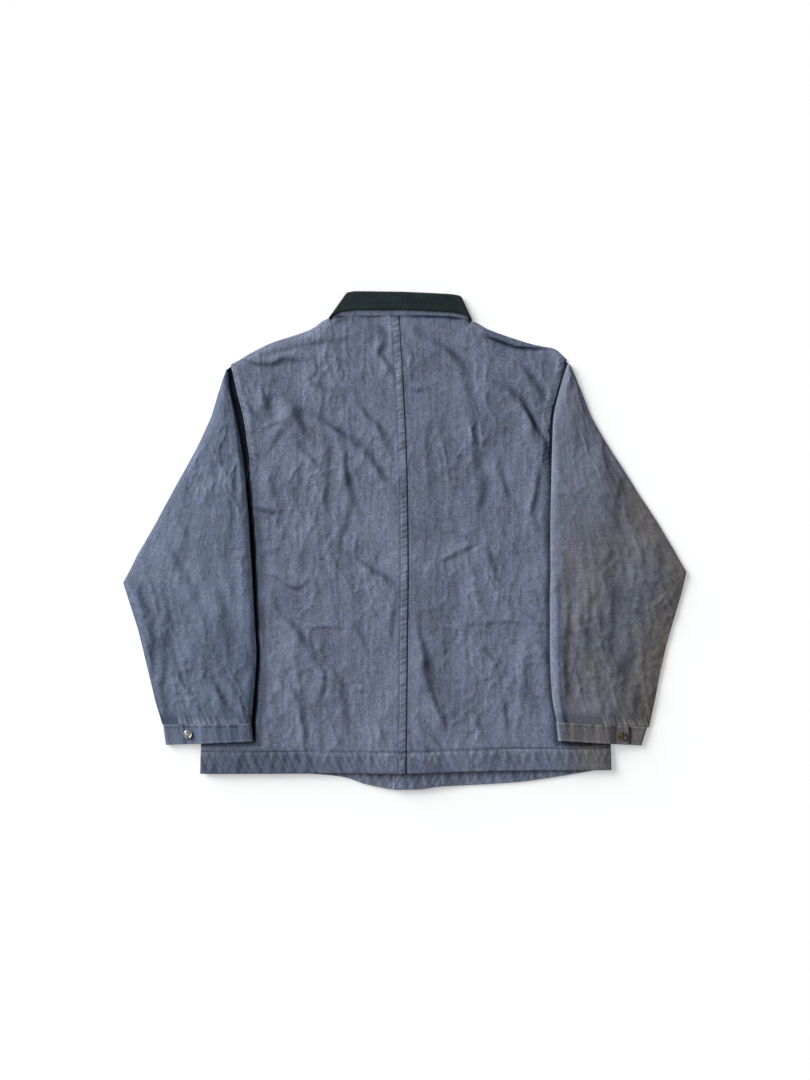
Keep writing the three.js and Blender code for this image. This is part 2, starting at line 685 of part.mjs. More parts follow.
function patchPocket(side) {
  const shape = new THREE.Shape();
  const [left, right] = [-pocket.width / 2, pocket.width / 2];
  const corner = 14;
  shape.moveTo(left, 0);
  shape.lineTo(left, -pocket.depth + corner);
  shape.lineTo(left + corner, -pocket.depth);
  shape.lineTo(right - corner, -pocket.depth);
  shape.lineTo(right, -pocket.depth + corner);
  shape.lineTo(right, 0);
  shape.closePath();
  const geometry = new THREE.ExtrudeGeometry(shape, { depth: cloth, bevelEnabled: false });
  const middle = centreX + side * (pocket.inner + pocket.width / 2);
  return geometry.translate(middle, pocket.top, 0);
}

// ---- Tack buttons: a cap and shank outside the cloth, a stem through it and a tack inside ----

function tackButton(overlapThickness, underThickness) {
  const shankTop = capHeight + overlapThickness + 2 * gap;
  const stemTop = shankTop + underThickness + 2 * gap;
  const profile = [
    [0, 0],
    [capRadius - 2.4, 0],
    [capRadius - 0.6, 0.7],
    [capRadius, 1.6],
    [capRadius - 0.7, capHeight],
    [shankRadius, capHeight],
    [shankRadius, shankTop],
    [stemRadius, shankTop],
    [stemRadius, stemTop],
    [tackRadius, stemTop],
    [tackRadius, stemTop + tackHeight],
    [0, stemTop + tackHeight],
  ].map(([r, z]) => new THREE.Vector2(r, z));
  return new THREE.LatheGeometry(profile, 14).rotateX(Math.PI / 2);
}

// ---- Build ----

for (const name of ["left", "right"]) {
  const { side } = body[name];
  add(`back_${name}`, backPanel(name), twill);

  const z = name === "left" ? leftFrontLift : rightFrontLift;
  const hole = name === "left" ? buttonhole : roundHole;
  add(`front_${name}`, cut(frontPanel(name), frontButtonYs.map((y) => hole(centreX, y, z))), twill);

  add(`pocket_${name}`, patchPocket(side), twill);
  add(`sleeve_${name}`, sleeve(name), twill);

  const { button, bottomOuter, bottomFold } = cuffs[name];
  const end = sleeveSections[name][sleeveSections[name].length - 1];
  const buttonY = (end.y - end.drop + (bottomOuter[1] + bottomFold[1]) / 2) / 2 - 1;
  const overlapTop = cuffLevels.overlap({ x: button, y: buttonY }) + doubled / 2;
  const cuffHoles = cut(cuff(name), [
    buttonhole(button, buttonY, overlapTop + 12 / 2 - doubled - gap / 2),
    roundHole(button, buttonY, overlapTop - 12 / 2 + gap),
  ]);
  add(`cuff_${name}`, cuffHoles, twill);
  const cap = tackButton(doubled, doubled).rotateX(Math.PI);
  add(`cuff_button_${name}`, cap.translate(button, buttonY, overlapTop + gap + capHeight), metal);
}

frontButtonYs.forEach((y, i) => {
  add(`front_button_${i + 1}`, tackButton(cloth, cloth).translate(centreX, y, 0), metal);
});

add("collar_stand", collarBand("seam", "stand", standLevel, cloth, 2), twill);
add("collar_leaf", collarBand("roll", "edge", leafLevel, corduroy, 3), cord);

// The origin is the middle of the jacket's outline, on the surface.
const outline = new THREE.Box3().setFromObject(jacket);
const middle = outline.getCenter(new THREE.Vector3());
jacket.position.set(-middle.x, -middle.y, -outline.min.z);

export default jacket;
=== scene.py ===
"""A worn cotton chore jacket, laid flat on its front with its sleeves brought down over its sides."""

import math
import random

import bmesh
import bpy
import numpy as np
from bpy.props import FloatProperty, FloatVectorProperty, PointerProperty
from mathutils import Matrix, Vector
from mathutils.bvhtree import BVHTree


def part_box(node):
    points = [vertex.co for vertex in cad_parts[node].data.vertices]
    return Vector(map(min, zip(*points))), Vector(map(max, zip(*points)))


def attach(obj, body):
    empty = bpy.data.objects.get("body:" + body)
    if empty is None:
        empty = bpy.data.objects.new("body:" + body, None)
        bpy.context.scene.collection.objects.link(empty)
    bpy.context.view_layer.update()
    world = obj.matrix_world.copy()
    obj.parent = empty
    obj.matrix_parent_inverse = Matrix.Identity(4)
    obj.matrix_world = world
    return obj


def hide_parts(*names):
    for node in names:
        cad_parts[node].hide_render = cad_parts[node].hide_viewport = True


bl_info = {
    "name": "Chore Jacket",
    "version": (1, 0, 0),
    "blender": (4, 5, 0),
    "location": "View3D > Sidebar > Jacket",
    "description": "Builds a chore jacket laid flat, piece by piece",
    "category": "Add Mesh",
}

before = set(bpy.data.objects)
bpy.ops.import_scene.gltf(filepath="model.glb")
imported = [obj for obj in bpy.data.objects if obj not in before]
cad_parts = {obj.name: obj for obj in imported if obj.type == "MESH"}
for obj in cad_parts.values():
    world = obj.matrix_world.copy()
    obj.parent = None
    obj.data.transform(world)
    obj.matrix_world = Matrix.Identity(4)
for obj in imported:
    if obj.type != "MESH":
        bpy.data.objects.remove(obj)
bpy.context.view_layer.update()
MM = 0.001
LIT = np.array([-0.9, 0.42])  # the side of a fold that the light reaches
SIDES = ("left", "right")
OUTWARD = {"left": -1, "right": 1}
SEEDS = {
    "left": {"front": (23, 24), "rumple": 51, "gather": 71, "comb": 73, "wave": 81, "cuff": (91, 92)},
    "right": {"front": (29, 30), "rumple": 67, "gather": 77, "comb": 79, "wave": 83, "cuff": (97, 98)},
}

# ---- Sizes that the pieces share, in millimetres ----

HEM_DEPTH = 33.0
HEM_STITCH = 1.8  # below the hem's upper edge
CUFF_DEPTH = 33
CUFF_STITCHES = (0.14, 0.88)  # shares of the way down a cuff
FELL_STITCHES = (2.2, 9.8)  # from the centre seam
ARM_STITCHES = (2.4, 9.6)  # from the armhole
EDGE_STITCH = 2.5  # from the edges of pockets and fronts
POCKET_CORNER = 13  # left free of straight stitches at each corner of a pocket
CENTRE_SEAM = ((-361, 3), (-176, 5), (-30, 6.5), (137, 3.5), (349, -7))  # y, x
NECKLINE = {
    "left": ((-7, 348.8), (-44, 348.8), (-80, 349.6), (-106, 347.6), (-115, 344)),
    "right": ((-7, 348.8), (36, 349.2), (74, 347.8), (97, 343.2), (103, 339)),
}
SHOULDER = {
    "left": ((-115, 344), (-146, 328), (-175, 317.5), (-205, 308), (-236, 293), (-256, 281), (-270, 273.5)),
    "right": (
        (103, 339), (132, 327), (168, 314.5), (201, 304.5), (222, 300.5), (235, 297), (244, 289), (252, 281)
    ),
}
BODY_EDGE = {  # y, x: the side seam and then the armhole
    "left": (
        (-362, -317), (38, -308), (58, -280), (73, -258), (94, -247.5), (115, -241.5), (155, -245),
        (192, -250.5), (229, -260), (255, -266), (273.5, -270),
    ),
    "right": (
        (-356, 321), (38, 312), (58, 280), (73, 258), (94, 238), (112, 229), (154, 226), (202, 229.5),
        (233, 238.5), (260, 247), (281, 252),
    ),
}
BACK_HEM = {
    "left": ((3, -361), (-160, -361.5), (-317, -362)),
    "right": ((3, -361), (160, -357), (321, -356)),
}
FRONT_HEM = {
    "left": ((22, -386.2), (-18, -386.5), (-62, -378), (-103, -366), (-210, -359), (-317, -358)),
    "right": (
        (-18, -386.5), (22, -386.3), (36, -384.6), (55, -382), (117, -379), (187, -374), (272, -361),
        (321, -352),
    ),
}
FRONT_NECK = {
    "left": ((22, 256), (-30, 258), (-72, 274), (-102, 305), (-115, 344)),
    "right": ((-18, 256), (34, 258), (70, 272), (95, 303), (103, 339)),
}

# Rows of the sleeves, shoulder to cuff: y, outer edge, inner fold, and how far the outer edge
# drops. Near the shoulder they also name the height of the armhole, arm_y.
SLEEVE_ROWS = {
    "left": (
        (266, -277, -274, 1, 273),
        (238, -286, -272, 0, 240),
        (195, -300, -262.5, 2, 197),
        (153, -319, -254.5, 2, 155),
        (116, -338, -249, 1, 115),
        (76, -361, -245, 2, 73),
        (32, -385, -241, 3, 38),
        (-20, -415, -238, 2),
        (-64, -437, -235, 1),
        (-98, -427, -233, 0),
        (-136, -414.5, -231, 0),
        (-176, -404.5, -229, 0),
        (-214, -395.5, -231, 0),
        (-250, -387, -234, 0),
        (-285, -376, -237, 1),
    ),
    "right": (
        (273, 257.5, 253, 0, 280),
        (243, 270, 243.5, 0, 244),
        (195, 290, 232, 2, 197),
        (150, 316, 229.5, 2, 152),
        (112, 339, 228, 0, 112),
        (72, 364, 227, 0, 73),
        (30, 392, 226, 0, 38),
        (-12, 417, 226, 0),
        (-49, 438, 226, 0),
        (-84, 430, 225, 0),
        (-122, 418.5, 225, 0),
        (-164, 406.5, 225, 0),
        (-205, 397, 226, 1),
        (-245, 389, 229, 3),
        (-283, 380, 236, 7),
    ),
}
SLEEVES = {
    side: [dict(zip(("y", "outer", "fold", "drop", "arm_y"), row)) for row in SLEEVE_ROWS[side]]
    for side in SIDES
}
CUFFS = {
    "left": {
        "top": ((-375, -285.5), (-237, -283.5)), "bottom": ((-371, -317), (-234, -311)), "lap_end": -345,
        "tab_end": -328.5, "button": -335,
    },
    "right": {
        "top": ((377, -289.5), (235, -281.5)), "bottom": ((368, -318), (238, -310)), "lap_end": 349,
        "tab_end": 332.5, "button": 338,
    },
}
POCKET = {"inner": 81, "width": 175, "top": -130, "depth": 185}
CENTRE_X = 2
FRONT_BUTTON_YS = tuple((2 - i) * 116 - 8 for i in range(5))

# Sections round the neck, from the left end of the collar to its right end: seam, top of the
# stand, roll, edge of the leaf, and level, which is 0 where the collar faces the floor and 1 where
# it lies on the back.
COLLAR_ROWS = (
    ((-6, 257.9), (-6, 288), (-7, 290), (-48, 230), 0),
    ((-30, 258.8), (-24, 292), (-23, 294), (-74, 248), 0),
    ((-71.5, 274.8), (-50, 302), (-49, 304), (-99, 285), 0),
    ((-101.2, 305.5), (-73, 333), (-73, 335), (-110, 320), 0),
    ((-110.5, 345.4), (-83.5, 381), (-88, 379), (-114.5, 341.5), 0),
    ((-111.2, 346.6), (-85, 382.3), (-91, 382), (-117.5, 344.5), 0.5),
    ((-108.5, 346.2), (-82.5, 382.5), (-87, 385), (-113, 349), 1),
    ((-96, 347.4), (-76, 383), (-77, 386.4), (-100, 355.5), 1),
    ((-80, 348), (-66, 383), (-66, 386.4), (-76, 358), 1),
    ((-44, 348), (-36, 383), (-36, 386), (-42, 358), 1),
    ((-6, 348), (-2, 382), (-2, 385.5), (-4, 358), 1),
    ((36, 348), (32, 380.6), (32, 384), (36, 356.5), 1),
    ((74, 346), (63, 379), (64, 382.4), (72, 354.5), 1),
    ((88, 344), (74, 378), (75, 381.5), (90, 351), 1),
    ((98, 343), (82, 377), (84, 380), (101.5, 344.5), 1),
    ((100.6, 342), (85, 375.5), (88, 378), (105, 341), 0.5),
    ((99.6, 340.4), (82.5, 374), (84, 377), (101.3, 338), 0),
    ((94.2, 303.5), (67, 330), (67, 332), (101, 317), 0),
    ((69.4, 272.8), (49, 300), (48, 302), (97, 283), 0),
    ((34, 258.8), (29, 291), (28, 293), (77, 247), 0),
    ((14, 257.9), (14, 287), (15, 289), (54, 230), 0),
)
COLLAR = [dict(zip(("seam", "stand", "roll", "edge", "level"), row)) for row in COLLAR_ROWS]

# ---- Creases: the width and the height of each fold, and the path of its shaded foot ----

BACK_CREASES = {
    "pull to the right armhole": (4.5, 4.5, ((181, 216), (200, 182), (213, 161), (225, 147))),
    "left neck hook": (7, 3.6, ((-72, 332), (-39, 329), (-33, 306), (-39, 290), (-24, 272), (-18, 258))),
    "left yoke drop": (5.5, 2.8, ((-140, 284), (-136, 264), (-145, 249), (-131, 237), (-101, 226))),
    "left shoulder tip": (4.5, 3.4, ((-250, 284), (-230, 275), (-203, 275), (-188, 282), (-165, 280))),
    "left shoulder long": (5, 1.3, ((-221, 289), (-158, 304), (-99, 313), (-69, 320))),
    "left neck side": (4, 1.4, ((-114, 337), (-84, 346))),
    "left blade long": (
        7, 4.0,
        ((-182, 216), (-162, 201), (-134, 190), (-105, 171), (-75, 153), (-54, 129), (-30, 94), (-10, 81)),
    ),
    "left blade wide": (8, 3.2, ((-173, 213), (-167, 190), (-153, 168))),
    "left blade low": (6, 2.4, ((-170, 159), (-159, 139), (-140, 123), (-129, 109))),
    "left of seam": (6, 2.4, ((-72, 216), (-57, 192), (-40, 177), (-27, 148), (-15, 136))),
    "left armhole drop": (6, 2.6, ((-221, 238), (-216, 215), (-208, 184))),
    "left armhole inner": (5, 1.4, ((-206, 246), (-210, 222), (-206, 205))),
    "left star up": (5, 1.5, ((-216, 175), (-196, 183), (-180, 182))),
    "left star down": (5, 1.6, ((-211, 140), (-196, 163), (-184, 178))),
    "left mid long": (6, 2.6, ((-97, 172), (-92, 140), (-91, 108), (-83, 72), (-71, 42))),
    "left mid fork": (5, 1.6, ((-84, 64), (-88, 34), (-98, 6))),
    "left waist nick": (3.5, 2.2, ((-240, 54), (-220, 48), (-198, 43))),
    "left underarm": (4, 1.6, ((-242, 137), (-225, 131))),
    "left armhole nick": (4, 1.8, ((-242, 212), (-234, 196), (-226, 190))),
    "left armhole long": (5, 1.0, ((-207, 110), (-205, 84), (-203, 62))),
    "left middle upright": (6, 1.4, ((-124, 178), (-118, 130), (-122, 80), (-120, 30))),
    "right neck sweep": (
        8, 2.8, ((8, 332), (32, 315), (58, 300), (80, 284), (91, 267), (97, 249), (99, 230))
    ),
    "right long fall": (
        9, 2.4, ((97, 236), (106, 195), (108, 150), (112, 117), (122, 88), (117, 52), (118, 25))
    ),
    "right blade long": (
        7, 3.2,
        ((122, 246), (148, 241), (169, 228), (184, 210), (199, 184), (202, 165), (210, 150), (226, 139)),
    ),
    "right blade upper": (6, 2.8, ((176, 270), (190, 261), (202, 243), (210, 228), (219, 213))),
    "right shoulder": (4, 3.0, ((122, 317), (148, 308), (171, 300), (202, 298), (226, 297))),
    "right side loop": (
        6, 2.2, ((212, 142), (213, 117), (207, 94), (202, 67), (199, 40), (207, 16), (222, 7))
    ),
    "right middle": (8, 1.8, ((142, 136), (151, 100), (160, 70), (174, 46))),
    "right of seam dip": (5, 1.6, ((4, 243), (16, 233), (38, 236))),
    "right waist arch": (5, 1.6, ((61, 13), (80, 13), (97, 2))),
    "right of seam long": (8, 1.3, ((38, 190), (34, 150), (42, 110), (40, 70))),
    "left side nick": (
        4.5, 2.0, ((-218, -51), (-198, -57), (-182, -69), (-164, -74), (-146, -63), (-140, -78))
    ),
    "left thin upright": (4, 1.2, ((-159, -6), (-157, -63))),
    "left waist strong": (6, 3.0, ((-102, -9), (-99, -21), (-75, -27), (-57, -42), (-30, -57), (-14, -72))),
    "left hip long": (
        6.5, 2.6,
        (
            (-206, -84), (-195, -111), (-170, -134), (-153, -162), (-140, -182), (-125, -203), (-125, -224),
            (-131, -250),
        ),
    ),
    "left low centre": (5, 1.8, ((-57, -98), (-36, -125))),
    "left by seam low": (5, 1.8, ((-15, -101), (-21, -129), (-21, -159))),
    "left low middle": (6, 1.8, ((-84, -123), (-69, -146), (-60, -167))),
    "left hem upright": (6, 2.2, ((-191, -224), (-170, -236), (-162, -260), (-156, -289), (-153, -314))),
    "left hem second": (8, 1.8, ((-108, -201), (-95, -247), (-90, -289))),
    "left hem third": (5, 1.6, ((-40, -283), (-30, -314))),
    "right waist sharp": (3.5, 2.2, ((57, -32), (83, -19), (109, -7))),
    "right waist drop": (5, 2.2, ((119, -12), (133, -24), (140, -46), (142, -66))),
    "right low strong": (
        7, 3.0, ((19, -111), (22, -140), (32, -176), (35, -212), (44, -239), (53, -263), (64, -289))
    ),
    "right hem nick": (5, 2.0, ((11, -260), (26, -286), (32, -314))),
    "pocket edge": (3.5, 1.0, ((87, -100), (88, -129), (142, -127), (160, -126), (219, -131))),
    "over the pocket": (4, 1.6, ((177, -111), (202, -123), (216, -131))),
    "pocket fold": (6, 2.0, ((106, -159), (122, -170), (139, -185), (148, -212))),
    "right hem upright": (6, 1.8, ((154, -244), (157, -275), (160, -298))),
    "right hip soft": (8, 1.4, ((192, -180), (186, -220), (196, -260))),
    "hem slant": (3, 6, ((6, -334), (16, -339), (34, -345))),
    "hem slant low": (3, 4, ((8, -345), (20, -349), (30, -355))),
    "above the hem": (5, 2.2, ((12, -300), (24, -316), (40, -326))),
    "above the hem wide": (6, 1.8, ((36, -296), (48, -310), (58, -324))),
    "left pocket edge": (3.5, 0.9, ((-150, -137), (-118, -135), (-86, -136))),
}

SLEEVE_CREASES = {
    "left": {
        "elbow long": (9, 2.0, ((-373, 2), (-358, -24), (-337, -60), (-322, -99), (-307, -137))),
        "elbow edge": (7, 3.2, ((-413, -69), (-409, -93), (-394, -120), (-394, -158), (-391, -194))),
        "forearm long": (
            8, 2.2, ((-376, -69), (-367, -111), (-370, -158), (-373, -200), (-377, -230), (-370, -260))
        ),
        "wrist strong": (6, 2.8, ((-357, -205), (-337, -227), (-325, -245), (-318, -263), (-318, -278))),
        "wrist second": (6, 2.2, ((-301, -206), (-289, -230), (-280, -250), (-275, -272))),
        "wrist third": (5, 1.8, ((-280, -203), (-263, -230), (-250, -260), (-247, -278))),
        "forearm inner": (8, 1.8, ((-295, -72), (-280, -111), (-278, -140), (-272, -170))),
        "inner nick": (5, 1.2, ((-252, -165), (-247, -173), (-240, -194))),
        "upper arm": (6, 1.8, ((-290, 150), (-298, 120), (-296, 90), (-300, 60))),
        "upper arm outer": (6, 1.6, ((-322, 118), (-330, 90), (-345, 64))),
        "upper arm inner": (7, 1.2, ((-270, 118), (-272, 80), (-268, 30), (-272, -20))),
        "above elbow": (7, 1.4, ((-352, 42), (-340, 10), (-344, -24))),
        "forearm middle": (8, 1.6, ((-330, -130), (-326, -170), (-332, -204))),
    },
    "right": {
        "inner trough": (6, 2.4, ((249, -60), (255, -90), (252, -134), (249, -200), (252, -275))),
        "upper arm": (8, 2.0, ((306, 148), (312, 120), (315, 94))),
        "upper arm outer": (8, 1.8, ((334, 100), (332, 70), (326, 46))),
        "elbow branch": (7, 1.8, ((315, 49), (332, 19), (348, 7))),
        "elbow": (9, 1.8, ((318, -7), (315, -51), (322, -90))),
        "forearm": (8, 2.0, ((345, -131), (351, -159), (339, -201), (342, -230))),
        "elbow outer": (8, 1.8, ((392, 6), (396, -30), (388, -66))),
        "wrist": (6, 1.8, ((300, -214), (308, -244), (304, -272))),
        "wrist outer": (6, 1.8, ((362, -232), (356, -256), (360, -278))),
        "forearm inner": (8, 1.5, ((286, -90), (280, -130), (284, -176))),
        "shoulder": (6, 1.5, ((262, 196), (268, 160), (264, 120))),
    },
}


# ---- Curves and fields ----


def smooth_path(points, step=4.0):
    """A rounded path through the points, sampled about every step."""
    p = np.array(points, float)
    ends = np.vstack([2 * p[0] - p[1], p, 2 * p[-1] - p[-2]])
    parts = []
    for a, b, c, d in zip(ends, ends[1:], ends[2:], ends[3:]):
        count = max(2, int(np.linalg.norm(c - b) / step))
        t = (np.arange(count) / count)[:, None]
        parts.append(
            0.5 * (
                2 * b + (c - a) * t + (2 * a - 5 * b + 4 * c - d) * t**2 + (3 * b - a - 3 * c + d) * t**3
            )
        )
    return np.vstack(parts + [p[-1:]])


def along(points, share):
    """Points at shares of a rounded path's length."""
    path = smooth_path(points)
    lengths = np.concatenate([[0], np.cumsum(np.linalg.norm(np.diff(path, axis=0), axis=1))])
    at = np.asarray(share) * lengths[-1]
    return np.stack([np.interp(at, lengths, path[:, k]) for k in (0, 1)], axis=-1)


def rounded(knots, values, at):
    """Values between knots on a rounded curve."""
    at = np.clip(np.asarray(at, float), knots[0], knots[-1])
    slopes = np.gradient(np.asarray(values, float), knots)
    k = np.clip(np.searchsorted(knots, at, side="right") - 1, 0, len(knots) - 2)
    knots, values = np.asarray(knots, float), np.asarray(values, float)
    h = knots[k + 1] - knots[k]
    t = (at - knots[k]) / h
    return (
        (2 * t**3 - 3 * t**2 + 1) * values[k]
        + (t**3 - 2 * t**2 + t) * h * slopes[k]
        + (3 * t**2 - 2 * t**3) * values[k + 1]
        + (t**3 - t**2) * h * slopes[k + 1]
    )


def ease(t):
    """From 0 to 1 with a soft start and a soft end."""
    t = np.clip(t, 0, 1)
    return t * t * (3 - 2 * t)


def bell(off, width):
    return np.exp(-((off / width) ** 2))


def round_end(t):
    """A quarter circle, from 0 on its steep end to 1."""
    return np.sqrt(np.clip(1 - (1 - np.clip(t, 0, 1)) ** 2, 0, 1))


def lattice_noise(x, y, seed):
    """Smooth noise from 0 to 1 with one cell to the unit."""
    xi, yi = np.floor(x), np.floor(y)
    fx, fy = x - xi, y - yi
    u = fx**3 * (fx * (fx * 6 - 15) + 10)
    v = fy**3 * (fy * (fy * 6 - 15) + 10)

    def corner(i, j):
        n = np.sin((xi + i) * 127.1 + (yi + j) * 311.7 + seed * 74.7) * 43758.5453
        return n - np.floor(n)

    low = corner(0, 0) * (1 - u) + corner(1, 0) * u
    high = corner(0, 1) * (1 - u) + corner(1, 1) * u
    return low * (1 - v) + high * v


def cloth_noise(x, y, size, seed, octaves=3):
    """Layered noise around 0, with its largest features about size across."""
    total, amount = np.zeros_like(x), 1.0
    for k in range(octaves):
        turn = 0.6 + 0.9 * k
        rx = (x * math.cos(turn) - y * math.sin(turn)) / size
        ry = (x * math.sin(turn) + y * math.cos(turn)) / size
        total += amount * (lattice_noise(rx, ry, seed + k) - 0.5)
        size, amount = size / 2.1, amount * 0.5
    return total


def crumple(x, y, seed, height):
    """Small soft rumples, longer along the warp than across it."""
    bend = 22 * cloth_noise(x, y, 70, seed + 40, 2)
    lean = x + 0.35 * y
    broad = cloth_noise(lean + bend, y * 0.5, 46, seed, 2)
    folded = np.exp(-np.abs(cloth_noise(lean + bend, y * 0.45 + bend, 40, seed + 9, 3)) * 9)
    small = np.exp(-np.abs(cloth_noise(x + 0.6 * bend, y * 0.6 - bend, 19, seed + 21, 2)) * 8)
    tiny = cloth_noise(x, y * 0.8, 9, seed + 33, 2)
    patchy = 0.45 + 1.1 * ease(cloth_noise(x, y, 80, seed + 55, 2) + 0.5)
    return height * (1.7 * broad + patchy * (1.15 * folded + 0.75 * small + 0.5 * tiny))


def crease_height(x, y, creases, scale):
    """Folds, each with a broad lit side and a steep shaded one, and the painted shade along each fold's foot."""
    xy = np.stack([x, y], axis=-1)
    total, deep = np.zeros(len(xy)), np.zeros(len(xy))
    for width, height, points in creases.values():
        path = smooth_path(points)
        tangent = np.gradient(path, axis=0)
        tangent /= np.linalg.norm(tangent, axis=1)[:, None]
        normal = np.stack([-tangent[:, 1], tangent[:, 0]], axis=-1)
        if (normal @ LIT).mean() < 0:
            normal = -normal
        near = np.all((xy > path.min(0) - 4 * width) & (xy < path.max(0) + 4 * width), axis=1)
        if not near.any():
            continue
        off = xy[near][:, None, :] - path[None]
        closest = np.argmin((off**2).sum(2), axis=1)
        off = off[np.arange(len(off)), closest]
        side = (off * normal[closest]).sum(1)
        past = np.maximum(np.abs((off * tangent[closest]).sum(1)) - 3, 0)
        share = closest / (len(path) - 1)
        taper = np.sin(np.pi * (0.06 + 0.88 * share)) ** 0.7 * bell(past, width)
        sway = 1 + 0.25 * np.sin(closest * 0.55 + len(path))
        width = width * (1.0 + 0.3 * np.sin(closest * 0.23 + 1.7 * len(path)))
        taper = taper * (
            0.82 + 0.22 * np.sin(closest * 0.31 + len(path)) + 0.12 * np.sin(closest * 0.83 + 2 * len(path))
        )
        top = side - 0.55 * width * sway
        reach = np.where(top > 0, 2.3, 1.15) * width
        ridge = np.exp(0.3 - np.sqrt((top / reach) ** 2 + 0.09)) * bell(top, 3.2 * width)
        foot = bell(side + 0.9 * width, 0.9 * width)
        total[near] += height * taper * (1.15 * ridge - 0.4 * foot)
        # Painted shade along the shaded foot of each fold.
        deep[near] += min(height / 3, 1) * taper * bell(side + 0.1 * width, 0.8 * width)
    return scale * 6.5 * np.tanh(total / 6.5), deep


def distance_to(x, y, path):
    xy = np.stack([x, y], axis=-1)
    return np.sqrt(((xy[:, None, :] - path[None]) ** 2).sum(2).min(axis=1))


def puckers(along_seam, across, seed, pitch, slant=0.35):
    """Uneven ridges across a seam or hem, from 0 to 1."""
    rng = random.Random(seed)
    low, high = along_seam.min() - 30, along_seam.max() + 30
    s = along_seam + slant * across
    total = np.zeros_like(s)
    at = low
    while at < high:
        at += pitch * rng.uniform(0.65, 1.45)
        width = pitch * rng.uniform(0.24, 0.36)
        total += rng.uniform(0.55, 1.0) * bell(s - at, width)
    return np.clip(total, 0, 1.3)


def surface_tree(mesh):
    return BVHTree.FromPolygons([v.co for v in mesh.vertices], [p.vertices for p in mesh.polygons])


class Relief:
    """The height of CAD nodes on a grid, from above or from below, smoothed."""

    step = 4.0

    def __init__(self, nodes, below=False, blur=3):
        trees = [surface_tree(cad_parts[n].data) for n in nodes]
        corners = np.array([[list(c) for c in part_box(n)] for n in nodes]) / MM
        self.low = corners[:, 0, :2].min(0) - 4 * self.step
        size = corners[:, 1, :2].max(0) + 4 * self.step - self.low
        nx, ny = (size / self.step).astype(int) + 2
        start, way = (-1.0, 1) if below else (1.0, -1)
        z = np.full((ny, nx), np.nan)
        for j in range(ny):
            for i in range(nx):
                x, y = (self.low + self.step * np.array([i, j])) * MM
                hits = [t.ray_cast(Vector((x, y, start)), Vector((0, 0, way)))[0] for t in trees]
                hits = [h.z / MM for h in hits if h]
                if hits:
                    z[j, i] = min(hits) if below else max(hits)
        for _ in range(10):
            padded = np.pad(z, 1, constant_values=np.nan)
            around = np.stack(
                [padded[1 + a : ny + 1 + a, 1 + b : nx + 1 + b] for a in (-1, 0, 1) for b in (-1, 0, 1)]
            )
            known = ~np.isnan(around)
            count = known.sum(0)
            mean = np.where(known, around, 0).sum(0) / np.maximum(count, 1)
            z = np.where(np.isnan(z) & (count > 0), mean, z)
        z = np.where(np.isnan(z), np.nanmin(z), z)
        for _ in range(blur):
            p = np.pad(z, 1, mode="edge")
            p = (p[:-2] + 2 * p[1:-1] + p[2:]) / 4
            z = (p[:, :-2] + 2 * p[:, 1:-1] + p[:, 2:]) / 4
        self.z = z

    def __call__(self, x, y):
        fx = np.clip((x - self.low[0]) / self.step, 1, self.z.shape[1] - 3.001)
        fy = np.clip((y - self.low[1]) / self.step, 1, self.z.shape[0] - 3.001)
        i, j = fx.astype(int), fy.astype(int)
        tx, ty = fx - i, fy - j

        def weights(t):
            return (
                ((1 - t) ** 3) / 6, (3 * t**3 - 6 * t**2 + 4) / 6, (-3 * t**3 + 3 * t**2 + 3 * t + 1) / 6,
                t**3 / 6,
            )

        total = 0
        for a, wy in enumerate(weights(ty)):
            for b, wx in enumerate(weights(tx)):
                total = total + wy * wx * self.z[j + a - 1, i + b - 1]
        return total


def centre_x(y):
    knots = [k[0] for k in CENTRE_SEAM]
    return rounded(knots, [k[1] for k in CENTRE_SEAM], y)


# ---- Meshes ----


def cloth_points(x, y, z, lay=None, **weights):
    """What a place function gives. lay is the point in the flat cloth, and is x and y by default."""
    return {"points": np.stack([x, y, z], axis=-1), "lay": np.stack(lay or (x, y), axis=-1), **weights}


def link_mesh(name, mesh):
    """An object of a mesh, smoothly shaded."""
    mesh.polygons.foreach_set("use_smooth", np.ones(len(mesh.polygons), bool))
    obj = bpy.data.objects.new(name, mesh)
    bpy.context.collection.objects.link(obj)
    return obj


def mesh_of(name, bm):
    mesh = bpy.data.meshes.new(name)
    bm.to_mesh(mesh)
    bm.free()
    return mesh


def grid_piece(name, columns, rows, place, weld=False):
    """A mesh from a grid. place takes column and row numbers and gives points, lays and weights."""
    bm = bmesh.new()
    bmesh.ops.create_grid(bm, x_segments=columns, y_segments=rows, size=1)
    co = np.array([v.co for v in bm.verts])
    xs, ys = np.unique(np.round(co[:, 0], 5)), np.unique(np.round(co[:, 1], 5))
    i = np.searchsorted(xs, np.round(co[:, 0], 5) - 1e-6)
    j = np.searchsorted(ys, np.round(co[:, 1], 5) - 1e-6)
    made = place(i / (len(xs) - 1), j / (len(ys) - 1))
    mesh = mesh_of(name, bm)
    mesh.vertices.foreach_set("co", (made["points"] * MM).astype(np.float32).ravel())
    layer = mesh.uv_layers.new(name="cloth")
    corners = np.empty(len(mesh.loops), np.int32)
    mesh.loops.foreach_get("vertex_index", corners)
    layer.data.foreach_set("uv", (made["lay"] * MM)[corners].astype(np.float32).ravel())
    # Weights at each point: rubbing with painted highlights, deep for painted shade and painted shadow, and the
    # doubled layers.
    for key in ("wear", "deep", "doubled"):
        values = made.get(key, np.zeros(len(co)))
        mesh.attributes.new(key, "FLOAT", "POINT").data.foreach_set(
            "value", np.clip(values, 0, 2).astype(np.float32)
        )
    if weld:
        bm = bmesh.new()
        bm.from_mesh(mesh)
        bmesh.ops.remove_doubles(bm, verts=bm.verts, dist=0.02 * MM)
        bm.to_mesh(mesh)
        bm.free()
    obj = link_mesh(name, mesh)
    mesh.update()
    return obj


